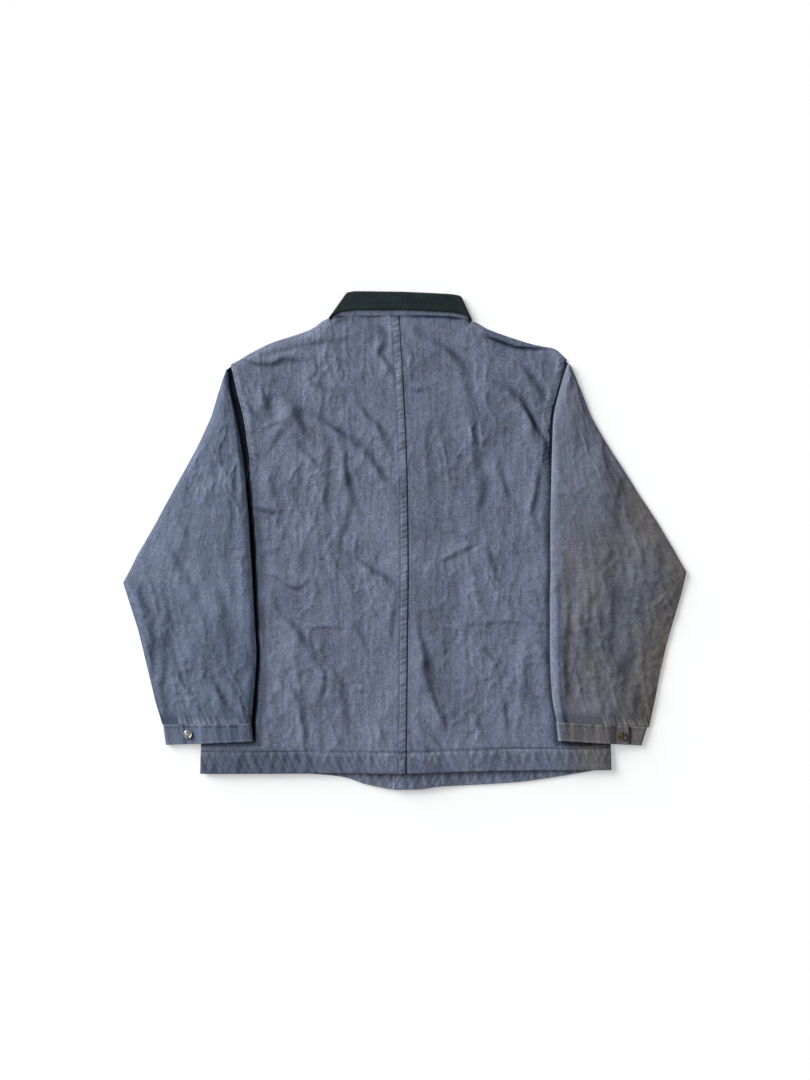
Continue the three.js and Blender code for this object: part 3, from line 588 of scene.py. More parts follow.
def flip(obj):
    bm = bmesh.new()
    bm.from_mesh(obj.data)
    bmesh.ops.reverse_faces(bm, faces=bm.faces)
    bm.to_mesh(obj.data)
    bm.free()


def face_up(obj, share=0.5):
    """Turns a mesh so that most of the faces that have the greatest height look up."""
    normals = np.array([p.normal.z * p.area for p in obj.data.polygons])
    heights = np.array([p.center.z for p in obj.data.polygons])
    high = heights >= np.quantile(heights, share)
    if normals[high].sum() < 0:
        flip(obj)


def thicken(obj, thickness, doubled=1.0, offset=-1.0):
    """A wall of cloth on one side of the surface, thicker where the doubled attribute says so."""
    if doubled > 1:
        group = obj.vertex_groups.new(name="layers")
        values = np.empty(len(obj.data.vertices), np.float32)
        obj.data.attributes["doubled"].data.foreach_get("value", values)
        for weight in np.unique(np.round(values, 1)):
            chosen = np.flatnonzero(np.round(values, 1) == weight)
            group.add(chosen.tolist(), float((1 + (doubled - 1) * weight) / doubled), "REPLACE")
    wall = obj.modifiers.new("wall", "SOLIDIFY")
    wall.thickness = thickness * MM * doubled
    wall.offset = offset
    if doubled > 1:
        wall.vertex_group = "layers"


def finish_piece(obj, material, slot, *nodes):
    obj.data.materials.clear()
    obj.data.materials.append(material)
    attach(obj, "root")
    if nodes:
        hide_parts(*nodes)


# ---- Materials ----

CORD_PITCH = 0.0016
# Painted shade: shares of each cloth colour's channels that make its darker, shaded copy.
PAINTED_SHADE_SHARES = (0.2, 0.28, 0.38)
# Painted shadow: the near-black that the deepest crevices are painted towards.
PAINTED_SHADOW_BLACK = (0.004, 0.004, 0.005, 1)


def new_group(name, inputs, outputs):
    group = bpy.data.node_groups.new(name, "ShaderNodeTree")
    for label, kind, default in inputs:
        socket = group.interface.new_socket(label, in_out="INPUT", socket_type=kind)
        if default is not None:
            socket.default_value = default
    for label, kind in outputs:
        group.interface.new_socket(label, in_out="OUTPUT", socket_type=kind)
    return group, group.nodes.new("NodeGroupInput"), group.nodes.new("NodeGroupOutput")


def attribute_of(tree, name):
    node = tree.nodes.new("ShaderNodeAttribute")
    node.attribute_name = name
    return node.outputs["Fac"]


def lay_of(tree):
    """Where each point lies in its own flat cloth."""
    node = tree.nodes.new("ShaderNodeUVMap")
    node.uv_map = "cloth"
    return node.outputs["UV"]


def new_material(name):
    material = bpy.data.materials.new(name)
    material.use_nodes = True
    tree = material.node_tree
    return material, tree, tree.nodes["Principled BSDF"]


def calc(tree, operation, a, b=None, c=None):
    node = tree.nodes.new("ShaderNodeMath")
    node.operation = operation
    for socket, value in zip(node.inputs, (a, b, c)):
        if value is None:
            continue
        if isinstance(value, (int, float)):
            socket.default_value = value
        else:
            tree.links.new(value, socket)
    return node.outputs[0]


def clamp(tree, value):
    return calc(tree, "MINIMUM", calc(tree, "MAXIMUM", value, 0.0), 1.0)


def mix_colour(tree, factor, a, b, blend="MIX"):
    node = tree.nodes.new("ShaderNodeMix")
    node.data_type, node.blend_type = "RGBA", blend
    for socket, value in zip((node.inputs[0], node.inputs[6], node.inputs[7]), (factor, a, b)):
        if isinstance(value, (int, float, tuple)):
            socket.default_value = value
        else:
            tree.links.new(value, socket)
    return node.outputs[2]


def noise_of(tree, vector, scale, detail=3.0, stretch=None):
    if stretch:
        mapping = tree.nodes.new("ShaderNodeMapping")
        mapping.inputs["Scale"].default_value = stretch
        tree.links.new(vector, mapping.inputs["Vector"])
        vector = mapping.outputs[0]
    noise = tree.nodes.new("ShaderNodeTexNoise")
    noise.inputs["Scale"].default_value = scale
    noise.inputs["Detail"].default_value = detail
    tree.links.new(vector, noise.inputs["Vector"])
    return noise.outputs["Fac"]


def add_bump(tree, shader, height, strength, distance):
    bump = tree.nodes.new("ShaderNodeBump")
    bump.inputs["Strength"].default_value = strength
    bump.inputs["Distance"].default_value = distance
    tree.links.new(height, bump.inputs["Height"])
    tree.links.new(bump.outputs["Normal"], shader.inputs["Normal"])


def bands(tree, vector, direction, scale, distortion):
    wave = tree.nodes.new("ShaderNodeTexWave")
    wave.wave_type, wave.bands_direction = "BANDS", direction
    wave.inputs["Scale"].default_value = scale
    wave.inputs["Distortion"].default_value = distortion
    tree.links.new(vector, wave.inputs["Vector"])
    return wave.outputs["Fac"]


def twill_group():
    """Warp-faced twill: diagonal lines, uneven yarns, cloudy fading, rubbing, painted highlights and painted shade.
    """
    group, start, end = new_group(
        "Twill weave",
        [
            ("Lay", "NodeSocketVector", None),
            ("Cloth", "NodeSocketColor", (0.12, 0.14, 0.2, 1)),
            ("Faded", "NodeSocketColor", (0.2, 0.22, 0.28, 1)),
            ("WornAndLit", "NodeSocketColor", (0.3, 0.32, 0.36, 1)),
            ("PaintedShade", "NodeSocketColor", (0.05, 0.06, 0.09, 1)),
            ("WearAndHighlight", "NodeSocketFloat", 0.0),
            ("Deep", "NodeSocketFloat", 0.0),
            ("Streaks", "NodeSocketFloat", 0.35),
        ],
        [("Color", "NodeSocketColor"), ("Height", "NodeSocketFloat"), ("Rough", "NodeSocketFloat")],
    )
    lay = start.outputs["Lay"]
    ribs = bands(group, lay, "DIAGONAL", 300, 0.8)
    yarns = noise_of(group, lay, 1.0, 3, (560, 130, 1))
    wefts = noise_of(group, lay, 1.0, 2, (110, 520, 1))
    streaks = noise_of(group, lay, 1.0, 3, (190, 14, 1))
    clouds = noise_of(group, lay, 14.0, 5)
    grain = noise_of(group, lay, 330.0, 3)
    fade = calc(group, "MULTIPLY_ADD", clouds, 1.2, -0.1)
    for texture, amount in ((streaks, start.outputs["Streaks"]), (yarns, 1.7), (wefts, 0.9), (grain, 1.3)):
        fade = calc(
            group, "ADD", fade, calc(group, "MULTIPLY", calc(group, "SUBTRACT", texture, 0.5), amount)
        )
    colour = mix_colour(group, clamp(group, fade), start.outputs["Cloth"], start.outputs["Faded"])
    # Rubbing and painted highlights both lighten the cloth towards the lighter tone.
    rubbed = calc(group, "MULTIPLY", start.outputs["WearAndHighlight"], calc(group, "MULTIPLY_ADD", grain, 1.6, -0.15))
    colour = mix_colour(group, clamp(group, rubbed), colour, start.outputs["WornAndLit"])
    # Painted shade: the deep attribute mixes in the darker, shaded copy of the cloth colour.
    sunk = calc(group, "MULTIPLY", start.outputs["Deep"], calc(group, "MULTIPLY_ADD", grain, 0.8, 0.65))
    sunk = calc(group, "MINIMUM", sunk, 1.0)
    colour = mix_colour(group, sunk, colour, start.outputs["PaintedShade"])
    # Painted shadow: where the deep attribute passes 1, the colour goes towards near black.
    painted_shadow_share = calc(group, "SUBTRACT", start.outputs["Deep"], 1.0)
    colour = mix_colour(group, clamp(group, painted_shadow_share), colour, PAINTED_SHADOW_BLACK)
    tint = group.nodes.new("ShaderNodeTexNoise")
    tint.inputs["Scale"].default_value = 45
    tint.inputs["Detail"].default_value = 4
    group.links.new(lay, tint.inputs["Vector"])
    split = group.nodes.new("ShaderNodeSeparateColor")
    group.links.new(tint.outputs["Color"], split.inputs[0])
    twill = calc(group, "MULTIPLY_ADD", ribs, 0.16, 0.92)
    dye = group.nodes.new("ShaderNodeCombineColor")
    for k, amount in enumerate((0.22, 0.12, 0.20)):
        drift = calc(group, "MULTIPLY_ADD", split.outputs[k], amount, 1 - amount / 2)
        group.links.new(calc(group, "MULTIPLY", drift, twill), dye.inputs[k])
    colour = mix_colour(group, 1.0, colour, dye.outputs[0], "MULTIPLY")
    group.links.new(colour, end.inputs["Color"])
    height = calc(group, "MULTIPLY", streaks, 0.5)
    for texture, amount in ((wefts, 0.6), (yarns, 0.9), (ribs, 0.4)):
        height = calc(group, "ADD", calc(group, "MULTIPLY", texture, amount), height)
    group.links.new(height, end.inputs["Height"])
    group.links.new(calc(group, "MULTIPLY_ADD", grain, 0.14, 0.8), end.inputs["Rough"])
    return group


# worn is the lighter tone for both rubbing and painted highlights.
def cloth_material(name, group, cloth, faded, worn, streaks=1.2, brown=None):
    material, tree, shader = new_material(name)
    weave = tree.nodes.new("ShaderNodeGroup")
    weave.node_tree = group
    deep = attribute_of(tree, "deep")
    for socket, source in (("Lay", lay_of(tree)), ("WearAndHighlight", attribute_of(tree, "wear")), ("Deep", deep)):
        tree.links.new(source, weave.inputs[socket])
    # The darker, shaded copy of the cloth colour, for painted shade.
    painted_shade_tone = [share * c for share, c in zip(PAINTED_SHADE_SHARES, cloth)]
    for socket, tone in (("PaintedShade", painted_shade_tone), ("Cloth", cloth), ("Faded", faded), ("WornAndLit", worn)):
        weave.inputs[socket].default_value = (*tone, 1)
    weave.inputs["Streaks"].default_value = streaks
    colour = weave.outputs["Color"]
    if brown:
        colour = mix_colour(tree, attribute_of(tree, "brown_share"), colour, (*brown, 1), "MULTIPLY")
    tree.links.new(colour, shader.inputs["Base Color"])
    tree.links.new(weave.outputs["Rough"], shader.inputs["Roughness"])
    # Less sheen and specular where the painted shade lies.
    sunk = calc(tree, "MINIMUM", deep, 1.0)
    tree.links.new(calc(tree, "MULTIPLY_ADD", sunk, -0.115, 0.12), shader.inputs["Sheen Weight"])
    tree.links.new(calc(tree, "MULTIPLY_ADD", sunk, -0.2, 0.25), shader.inputs["Specular IOR Level"])
    shader.inputs["Sheen Roughness"].default_value = 0.5
    add_bump(tree, shader, weave.outputs["Height"], 0.5, 0.0004)
    return material


def corduroy_material(deep, pile):
    """Fine cords that run along the leaf's length of roll, crushed in places."""
    material, tree, shader = new_material("dark green corduroy")
    lay = lay_of(tree)
    cords = bands(tree, lay, "X", 0.314 / CORD_PITCH, 0.5)
    crushed = noise_of(tree, lay, 45.0, 4)
    tufts = noise_of(tree, lay, 1.0, 2, (500, 1500, 1))
    lift = calc(tree, "MULTIPLY_ADD", cords, 0.22, calc(tree, "MULTIPLY_ADD", crushed, 1.9, -0.72))
    lift = calc(tree, "ADD", lift, calc(tree, "MULTIPLY_ADD", tufts, 0.5, -0.25))
    lift = calc(tree, "ADD", lift, calc(tree, "MULTIPLY", attribute_of(tree, "wear"), 0.5))
    colour = mix_colour(tree, clamp(tree, lift), (*deep, 1), (*pile, 1))
    tree.links.new(colour, shader.inputs["Base Color"])
    tree.links.new(calc(tree, "MULTIPLY_ADD", crushed, 0.15, 0.8), shader.inputs["Roughness"])
    shader.inputs["Sheen Weight"].default_value = 0.15
    shader.inputs["Sheen Roughness"].default_value = 0.4
    shader.inputs["Specular IOR Level"].default_value = 0.2
    add_bump(tree, shader, calc(tree, "ADD", cords, tufts), 0.8, 0.0006)
    return material


def thread_material(name, colour):
    material, tree, shader = new_material(name)
    place = tree.nodes.new("ShaderNodeTexCoord").outputs["Object"]
    twist = noise_of(tree, place, 1800.0, 2)
    dark = tuple(0.6 * c for c in colour)
    tree.links.new(mix_colour(tree, twist, (*dark, 1), (*colour, 1)), shader.inputs["Base Color"])
    shader.inputs["Roughness"].default_value = 0.7
    shader.inputs["Specular IOR Level"].default_value = 0.3
    return material


def metal_material(name, bright, tarnish, roughness):
    """Plated metal, scuffed all over and tarnished in spots."""
    material, tree, shader = new_material(name)
    place = tree.nodes.new("ShaderNodeTexCoord").outputs["Object"]
    spots = noise_of(tree, place, 620.0, 4)
    scuffs = noise_of(tree, place, 1500.0, 3)
    blend = clamp(tree, calc(tree, "MULTIPLY_ADD", spots, 7.0, -3.1))
    tree.links.new(mix_colour(tree, blend, (*bright, 1), (*tarnish, 1)), shader.inputs["Base Color"])
    shader.inputs["Metallic"].default_value = 1.0
    tree.links.new(calc(tree, "MULTIPLY_ADD", scuffs, 0.25, roughness), shader.inputs["Roughness"])
    add_bump(tree, shader, scuffs, 0.5, 0.0003)
    return material


# ---- Settings ----


def colour_property(name, description, default):
    return FloatVectorProperty(
        name=name, description=description, default=default, subtype="COLOR", size=3, min=0, max=1
    )


def height_property(name, description, default):
    return FloatProperty(
        name=name, description=description, default=default, subtype="DISTANCE", unit="LENGTH", min=0
    )


class JacketSizes(bpy.types.PropertyGroup):
    cloth: height_property("Cloth", "Thickness of one layer of twill", 0.001)
    leaf: height_property("Collar leaf", "Thickness of the corduroy leaf", 0.002)
    cuff: height_property("Cuff", "Thickness of a cuff band", 0.0019)
    fineness: height_property("Fineness", "Distance between points of the back and sleeves", 0.0026)
    creases: FloatProperty(
        name="Creases", description="How high the creases stand, against their own sizes", default=1.0,
        min=0, max=2, subtype="FACTOR",
    )
    rumple: height_property("Rumple", "Height of the small rumples", 0.0011)
    roping: height_property("Roping", "Height of the ridges across the hems", 0.0017)
    stitch: height_property("Stitch", "Length from one stitch to the next", 0.0032)
    button: height_property("Button", "Radius of a tack button's cap", 0.0067)


class JacketColours(bpy.types.PropertyGroup):
    body: colour_property("Body", "Twill of the back and fronts", (0.061, 0.073, 0.107))
    body_faded: colour_property("Body, faded", "Twill of the body where it has faded", (0.141, 0.164, 0.237))
    left: colour_property("Left sleeve", "Twill of the left sleeve", (0.062, 0.079, 0.118))
    left_faded: colour_property("Left sleeve, faded", "Left sleeve where it has faded", (0.132, 0.164, 0.240))
    right: colour_property("Right sleeve", "Twill of the right sleeve", (0.060, 0.069, 0.100))
    right_faded: colour_property(
        "Right sleeve, faded", "Right sleeve where it has faded", (0.121, 0.137, 0.190)
    )
    # This lighter tone serves both rubbed edges and painted highlights.
    worn: colour_property("WornAndLit", "Rubbed edges of seams and hems", (0.250, 0.280, 0.345))
    brown: colour_property("Brown cast", "What browning leaves of the cloth's colour", (1.0, 0.79, 0.53))
    corduroy: colour_property("Corduroy", "Deep colour between the cords", (0.004, 0.009, 0.010))
    pile: colour_property("Pile", "Tops of the cords", (0.010, 0.025, 0.028))
    thread: colour_property("Thread", "Stitching", (0.150, 0.170, 0.225))


# ---- Shared state of one build ----

RELIEFS = {}
MATERIALS = {}


def relief(key, nodes, below=False, blur=3):
    if key not in RELIEFS:
        RELIEFS[key] = Relief(nodes, below, blur)
    return RELIEFS[key]


def materials(context):
    if not MATERIALS:
        c = context.scene.jacket_colours
        group = twill_group()
        MATERIALS["body"] = cloth_material(
            "body twill", group, c.body, c.body_faded, c.worn, brown=tuple(c.brown)
        )
        MATERIALS["left"] = cloth_material("left sleeve twill", group, c.left, c.left_faded, c.worn)
        MATERIALS["right"] = cloth_material(
            "right sleeve twill", group, c.right, c.right_faded, c.worn, brown=tuple(c.brown)
        )
        MATERIALS["corduroy"] = corduroy_material(c.corduroy, c.pile)
        MATERIALS["thread"] = thread_material("blue-grey thread", tuple(c.thread))
        MATERIALS["pale thread"] = thread_material("pale thread", (0.34, 0.37, 0.43))
        MATERIALS["green thread"] = thread_material("dark green thread", (0.03, 0.045, 0.05))
        MATERIALS["nickel"] = metal_material("worn nickel", (0.72, 0.71, 0.68), (0.10, 0.095, 0.09), 0.26)
        # Brass painted dark: its darkness is painted reflection, its warm hue is the metal's own.
        MATERIALS["brass"] = metal_material(
            "dark antique brass", (0.26, 0.18, 0.09), (0.02, 0.016, 0.013), 0.30
        )
    return MATERIALS


def sleeve_row(side, v):
    """The measures of a sleeve at shares of its length."""
    table = SLEEVES[side]
    knots = np.arange(len(table)) / (len(table) - 1)
    row = {key: rounded(knots, [r[key] for r in table], v) for key in ("y", "fold", "drop")}
    row["outer"] = np.interp(v, knots, [r["outer"] for r in table])
    arm = [r for r in table if "arm_y" in r]
    row["underarm"] = knots[len(arm) - 1]
    shares = np.minimum(v, row["underarm"])
    row["arm_y"] = np.interp(shares, knots[: len(arm)], [r["arm_y"] for r in arm])
    row["arm_x"] = outer_edge(side, row["arm_y"]) + (3.4 if side == "left" else -3.4)
    return row


def sleeve_line(side, key, y):
    """The x of a sleeve's outer edge or fold at a height on the body."""
    table = SLEEVES[side]
    return np.interp(-y, [-r["y"] for r in table], [r[key] for r in table])


def sleeve_cover(side, x, y, reach=10):
    """1 where the body shows, easing to 0 under the sleeve."""
    table = SLEEVES[side]
    inside = (sleeve_line(side, "fold", y) - x) * OUTWARD[side]
    low, high = table[-1]["y"] - 34, table[0]["y"]
    covered = (y > low) & (y < high)
    return np.where(covered, ease((inside - 1) / reach), 1)


def brown_cast(obj, amount):
    """Brown a piece by a share that changes from place to place."""
    # The share of the brown tone multiplied into the cloth colour at each point.
    brown_share = obj.data.attributes.new("brown_share", "FLOAT", "POINT")
    co = np.empty(len(obj.data.vertices) * 3, np.float32)
    obj.data.vertices.foreach_get("co", co)
    co = co.reshape(-1, 3).astype(float) / MM
    brown_share.data.foreach_set("value", np.clip(amount(co[:, 0], co[:, 1]), 0, 1).astype(np.float32))


# ---- The back ----


def outer_edge(side, y):
    """The x of the body's edge: straight along the side seam and rounded along the armhole."""
    table = BODY_EDGE[side]
    ys, xs = zip(*table)
    seam, armhole = np.interp(y, ys[:2], xs[:2]), rounded(ys[1:], xs[1:], y)
    return armhole * (y >= ys[1]) + seam * (y < ys[1])


def panel_plan(u, v, side, bottom, top, inner_x):
    """Plan points of a panel between its centre edge, u = 0, and its side, u = 1."""
    low, high = along(bottom, u), along(top, u)
    tip_y, hem_y = top[-1][1], bottom[-1][1]
    side_y = hem_y + (tip_y - hem_y) * v
    outer = np.stack([outer_edge(side, side_y), side_y], axis=-1)
    mid_y = bottom[0][1] + (top[0][1] - bottom[0][1]) * v
    inner = np.stack([inner_x(mid_y), mid_y], axis=-1)
    corners = [np.array(p, float) for p in (bottom[0], bottom[-1], top[0], top[-1])]
    corners[1][0] = outer_edge(side, np.array([hem_y]))[0]
    corners[3][0] = outer_edge(side, np.array([tip_y]))[0]
    u, v = u[:, None], v[:, None]
    blend = (1 - v) * ((1 - u) * corners[0] + u * corners[1]) + v * ((1 - u) * corners[2] + u * corners[3])
    return (1 - u) * inner + u * outer + (1 - v) * low + v * high - blend


def back_height(side, x, y, sizes):
    """The outer surface of a back panel, its rubbing and painted highlights, where it is doubled, and its painted
    shade.
    """
    ground = relief("back", ("back_left", "back_right"))(x, y)
    edge_ys = np.linspace(BODY_EDGE[side][0][0], BODY_EDGE[side][-1][0], 160)
    outline = np.vstack(
        [np.stack([outer_edge(side, edge_ys), edge_ys], axis=-1), smooth_path(SHOULDER[side], 5)[::-1]]
    )
    from_edge = distance_to(x, y, outline)
    rise = np.minimum(ease((from_edge - 1) / 9), 1) * sleeve_cover(side, x, y)
    hem_line = np.interp(x, *zip(*sorted(BACK_HEM["left"] + BACK_HEM["right"])))
    above_hem = y - hem_line
    in_hem = ease((HEM_DEPTH + 0.6 - above_hem) / 1.6)
    seam = centre_x(y) - x
    in_fell = ease(seam / 0.6) * ease((12.4 - seam) / 1.8) if side == "left" else np.zeros_like(x)
    from_seam = np.abs(seam)
    calm = 1 - 0.65 * ease(1 - (from_seam - 6) / 16)
    folds, deep = crease_height(x, y, BACK_CREASES, sizes.creases)
    rumple = crumple(x, y, 3, sizes.rumple / MM)
    fold_share = calm * (1 - 0.75 * in_hem)
    z = ground + rise * (0.8 + folds * fold_share + rumple * (1 - 0.5 * in_hem))
    rope = 0.45 * puckers(x, above_hem, 11, 14.5, -0.3) + 0.6 * puckers(x, above_hem, 12, 8.0, 0.45)
    roping = sizes.roping / MM * in_hem * (0.45 + 0.55 * ease((above_hem - 8) / 16)) * (rope - 0.35)
    z = z + ease(from_edge / 6) * roping + 0.9 * in_hem
    ticks = puckers(x, above_hem, 13, 6.5, 0.3) * ease((above_hem - HEM_DEPTH + 13) / 10) * in_hem
    z = z + 0.7 * (ticks - 0.3) * in_hem
    stitch_dip = bell(above_hem - HEM_DEPTH + HEM_STITCH, 1.5)
    z = z - 0.45 * stitch_dip
    above = ease((HEM_DEPTH + 26 - above_hem) / 24) * (1 - in_hem)
    z = z + 0.5 * above * (rope - 0.4)
    tug = puckers(y, seam, 5, 6.6, 0.4)
    z = z + in_fell * (0.85 + 0.4 * (tug - 0.45))
    z = z - 0.3 * in_fell * (bell(seam - 2.2, 0.9) + bell(seam - 9.8, 0.9))
    beside = bell(from_seam - 15, 8) * (1 - in_hem)
    z = z + 0.35 * beside * (puckers(y, seam, 6, 11.0, -0.6) - 0.4)
    arm_ys = np.linspace(BODY_EDGE[side][4][0], BODY_EDGE[side][-1][0], 90)
    arm = np.stack([outer_edge(side, arm_ys), arm_ys], axis=-1)
    from_arm = distance_to(x, y, arm)
    in_arm = ease((13.5 - from_arm) / 1.8)
    arm_tug = puckers(y, from_arm, 17, 6.6, 0.5)
    z = z + in_arm * (0.8 + 0.28 * (arm_tug - 0.4)) * ease((y - 96) / 14)
    z = z - 0.3 * (bell(from_arm - 2.4, 0.9) + bell(from_arm - 9.6, 0.9)) * ease((y - 96) / 14)
    round_off = 1 - ease(from_edge / 4.5)
    z = z - 1.1 * round_off * (y > 250)
    wear = (
        0.75 * in_fell * ease(tug * 1.2 - 0.35)
        + 0.5 * in_hem * ease(rope * 1.5 - 0.6) * ease((above_hem - 10) / 14)
    )
    # A painted highlight along the top edge of the hem, and rubbed tops of the small puckers near it.
    wear = wear + 0.5 * bell(above_hem - HEM_DEPTH + 0.8, 1.0) + 0.3 * ticks
    # The rubbed hem edge and armhole puckers, and a painted highlight on the tops of the creases.
    wear = (
        wear
        + 0.8 * ease(1 - above_hem / 2.2)
        + 0.45 * in_arm * ease(arm_tug - 0.3)
        + 0.12 * ease(folds / 3)
    )
    # Painted shade in the feet of the creases and in the troughs of the hem's roping and the armhole puckers; the
    # hem is also darker overall, more so towards the left.
    deep = (
        0.6 * deep * fold_share
        + in_hem * (
            0.08 + 0.26 * ease(-(x + 40) / 200) + 0.42 * ease(1 - rope * 1.7) * (0.6 + 0.4 * ease(-x / 60))
        )
        + 0.3 * in_arm * ease(1 - arm_tug * 2)
    )
    # A painted shadow line just above the top edge of the hem.
    deep = deep + 0.7 * bell(above_hem - HEM_DEPTH - 1.6, 1.5)
    from_neck = distance_to(x, y, np.vstack([smooth_path(NECKLINE[k]) for k in SIDES]))
    # A painted shadow along the neckline seam, stronger on the right and at the far left.
    neck_shadow_strength = (0.75 + 0.6 * ease((x - 2) / 20) + 0.5 * ease((-88 - x) / 15)) * (
        1 + 1.2 * cloth_noise(x, y, 22, 61, 2)
    )
    deep = deep + neck_shadow_strength * bell(from_neck, 3.8)
    z = (
        z
        - 1.8 * ease(1 - from_neck / 3.5)
        + 0.5 * ease(1 - np.abs(from_neck - 9) / 9) * (puckers(x, y, 47, 12, 0.6) - 0.4)
    )
    # Painted shadow of each sleeve's fold on the body: on the left a wide shade and a near-black crevice beside the
    # fold, on the right a narrow strip.
    if side == "left":
        fold = sleeve_line(side, "fold", y)
        crevice = 3.6 + 3.0 * ease((y + 120) / 120) + 1.5 * ease((-230 - y) / 30)
        deep = deep + 0.35 * ease((24 - (x - fold)) / 12) * (y < 130) * (y > -318)
        deep = deep + 1.9 * ease((crevice + 1.5 - (x - fold)) / 3) * (y < 130) * ease((y + 312) / 3)
    else:
        fold = sleeve_line(side, "fold", y)
        deep = deep + 0.75 * ease((6 - (fold - x)) / 4) * (y < 290) * (y > -318)
    # Painted shade on the strip above the right shoulder's roll line, darkest along the line.
    rolled = np.interp(x, (118, 148, 171, 213, 232), (319, 308.5, 300, 298, 296))
    deep = deep + 0.4 * ease((y - rolled) / 2.5) * ease((x - 116) / 12) * ease((240 - x) / 10)
    deep = deep + 0.8 * bell(y - rolled, 1.6) * ease((x - 122) / 14) * ease((226 - x) / 30)
    # Painted shade in the troughs of the centre seam's puckers, and painted shadow lines along the seam and along
    # the fell's outer edge.
    deep = (
        deep
        + 0.3 * in_fell * ease(1 - tug * 1.8)
        + 0.8 * bell(seam - 0.3, 1.2)
        + 0.5 * bell(seam - 13.2, 1.2) * (side == "left")
    )
    return z, np.clip(wear, 0, 1), in_hem, deep


def back_panel(context, side):
    sizes = context.scene.jacket_sizes
    step = sizes.fineness / MM
    top = (*NECKLINE[side], *SHOULDER[side][1:])
    gap = 0.15 if side == "left" else -0.15

    def place(i, j):
        u = 1 - i if side == "left" else i
        xy = panel_plan(u, j, side, BACK_HEM[side], top, centre_x)
        x, y = xy[:, 0] - gap * (1 - u), xy[:, 1]
        z, wear, doubled, deep = back_height(side, x, y, sizes)
        return cloth_points(x, y, z, wear=wear, doubled=doubled, deep=deep)

    obj = grid_piece(f"back_{side}_cloth", int(320 / step), int(715 / step), place)
    if side == "right":
        brown_cast(obj, lambda x, y: 0.85 * ease((x - 225) / 70) * ease((-262 - y) / 45))
    thicken(obj, sizes.cloth / MM, 1.8)
    finish_piece(obj, materials(context)["body"], "twill", f"back_{side}")


class JACKET_OT_back(bpy.types.Operator):
    """Lay the two back panels, with their centre seam, armhole seams and hem"""

    bl_idname = "jacket.back"
    bl_label = "Back panels"

    def execute(self, context):
        for side in SIDES:
            back_panel(context, side)
        return {"FINISHED"}


# ---- The fronts and pockets ----


def front_height(side, x, y, sizes, hem):
    low = relief(f"front_{side} low", (f"front_{side}",), below=True)(x, y)
    above_hem = y - hem
    in_hem = ease((HEM_DEPTH + 0.6 - above_hem) / 1.6)
    cloth = sizes.cloth / MM
    rope = (
        0.65 * puckers(x, above_hem, SEEDS[side]["front"][0], 15.5, 0.3)
        + 0.45 * puckers(x, above_hem, SEEDS[side]["front"][1], 9.0, -0.5)
    )
    soft = ease((above_hem - HEM_DEPTH) / 60) * ease((300 - y) / 60) * ease((300 - np.abs(x)) / 40)
    rumple = 1.1 * soft * np.clip(0.5 + cloth_noise(x, y * 0.6, 48, 31), 0, 1)
    z = low + cloth + rumple + 0.9 * in_hem
    z = z + 0.8 * sizes.roping / MM * in_hem * np.clip(rope - 0.1, 0, 1) * ease((above_hem + 2) / 6)
    z = z + 0.55 * np.clip(rope - 0.2, 0, 1) * ease((HEM_DEPTH + 30 - above_hem) / 28) * (1 - in_hem)
    wear = 0.45 * in_hem * ease(rope * 1.5 - 0.5) + 0.6 * ease(1 - above_hem / 2.2)
    # Painted shade in the troughs of the hem's roping.
    deep = 0.3 * in_hem * ease(1 - rope * 1.6)
    return z, wear, in_hem, deep


def front_panel(context, side):
    sizes = context.scene.jacket_sizes
    edge_x = FRONT_NECK[side][0][0]
    top = (*FRONT_NECK[side], *SHOULDER[side][1:])
    bottom = FRONT_HEM[side]
    order = sorted(bottom)

    def place(i, j):
        u = 1 - i if side == "left" else i
        v = np.where(j < 0.4, j / 0.4 * 0.085, 0.085 + (j - 0.4) / 0.6 * 0.915)
        xy = panel_plan(u, v, side, bottom, top, lambda y: np.full_like(y, edge_x))
        x, y = xy[:, 0], xy[:, 1]
        hem = np.interp(x, [p[0] for p in order], [p[1] for p in order])
        z, wear, doubled, deep = front_height(side, x, y, sizes, hem)
        return cloth_points(x, y, z, wear=wear, doubled=doubled, deep=deep)

    obj = grid_piece(f"front_{side}_cloth", 130, 110, place)
    thicken(obj, sizes.cloth / MM, 1.9)
    finish_piece(obj, materials(context)["body"], "twill", f"front_{side}")


def patch_pocket(context, side):
    sizes = context.scene.jacket_sizes
    sign = OUTWARD[side]
    middle = CENTRE_X + sign * (POCKET["inner"] + POCKET["width"] / 2)
    half, depth, corner = POCKET["width"] / 2, POCKET["depth"], 14

    def place(i, j):
        y = POCKET["top"] - depth * (1 - j)
        below = np.clip(y - (POCKET["top"] - depth), 0, corner)
        x = middle + (2 * i - 1) * (half - (corner - below))
        turned = ease((POCKET["top"] - y) / 1.0) * ease((24 - (POCKET["top"] - y)) / 1.5)
        z = 1.0 - 0.05 * turned
        rim = ease(1 - np.minimum(np.minimum(i, 1 - i) * 2 * half, depth * j) / 2.2)
        return cloth_points(x, y, z, wear=0.5 * rim)

    obj = grid_piece(f"pocket_{side}_cloth", 44, 46, place)
    thicken(obj, sizes.cloth / MM)
    finish_piece(obj, materials(context)["body"], "twill", f"pocket_{side}")


class JACKET_OT_fronts(bpy.types.Operator):
    """Lay the two fronts, which face the floor, and their patch pockets"""

    bl_idname = "jacket.fronts"
    bl_label = "Fronts and pockets"

    def execute(self, context):
        for side in SIDES:
            front_panel(context, side)
            patch_pocket(context, side)
        return {"FINISHED"}


# ---- The sleeves ----

SLEEVE_LIFT = 3.4  # how much fuller a sleeve stands than a pressed one
COLUMNS = {"lower": 22, "upper": 76, "inner": 16}


def crowd(count, width, first=0.5):
    """Shares across a width, close together at both folds."""
    near = np.array([0, first, first * 3, first * 6.5, first * 11])
    inner = np.linspace(near[-1], width - near[-1], count + 1 - 2 * (len(near) - 1))[1:-1]
    return np.concatenate([near, inner, width - near[::-1]]) / width


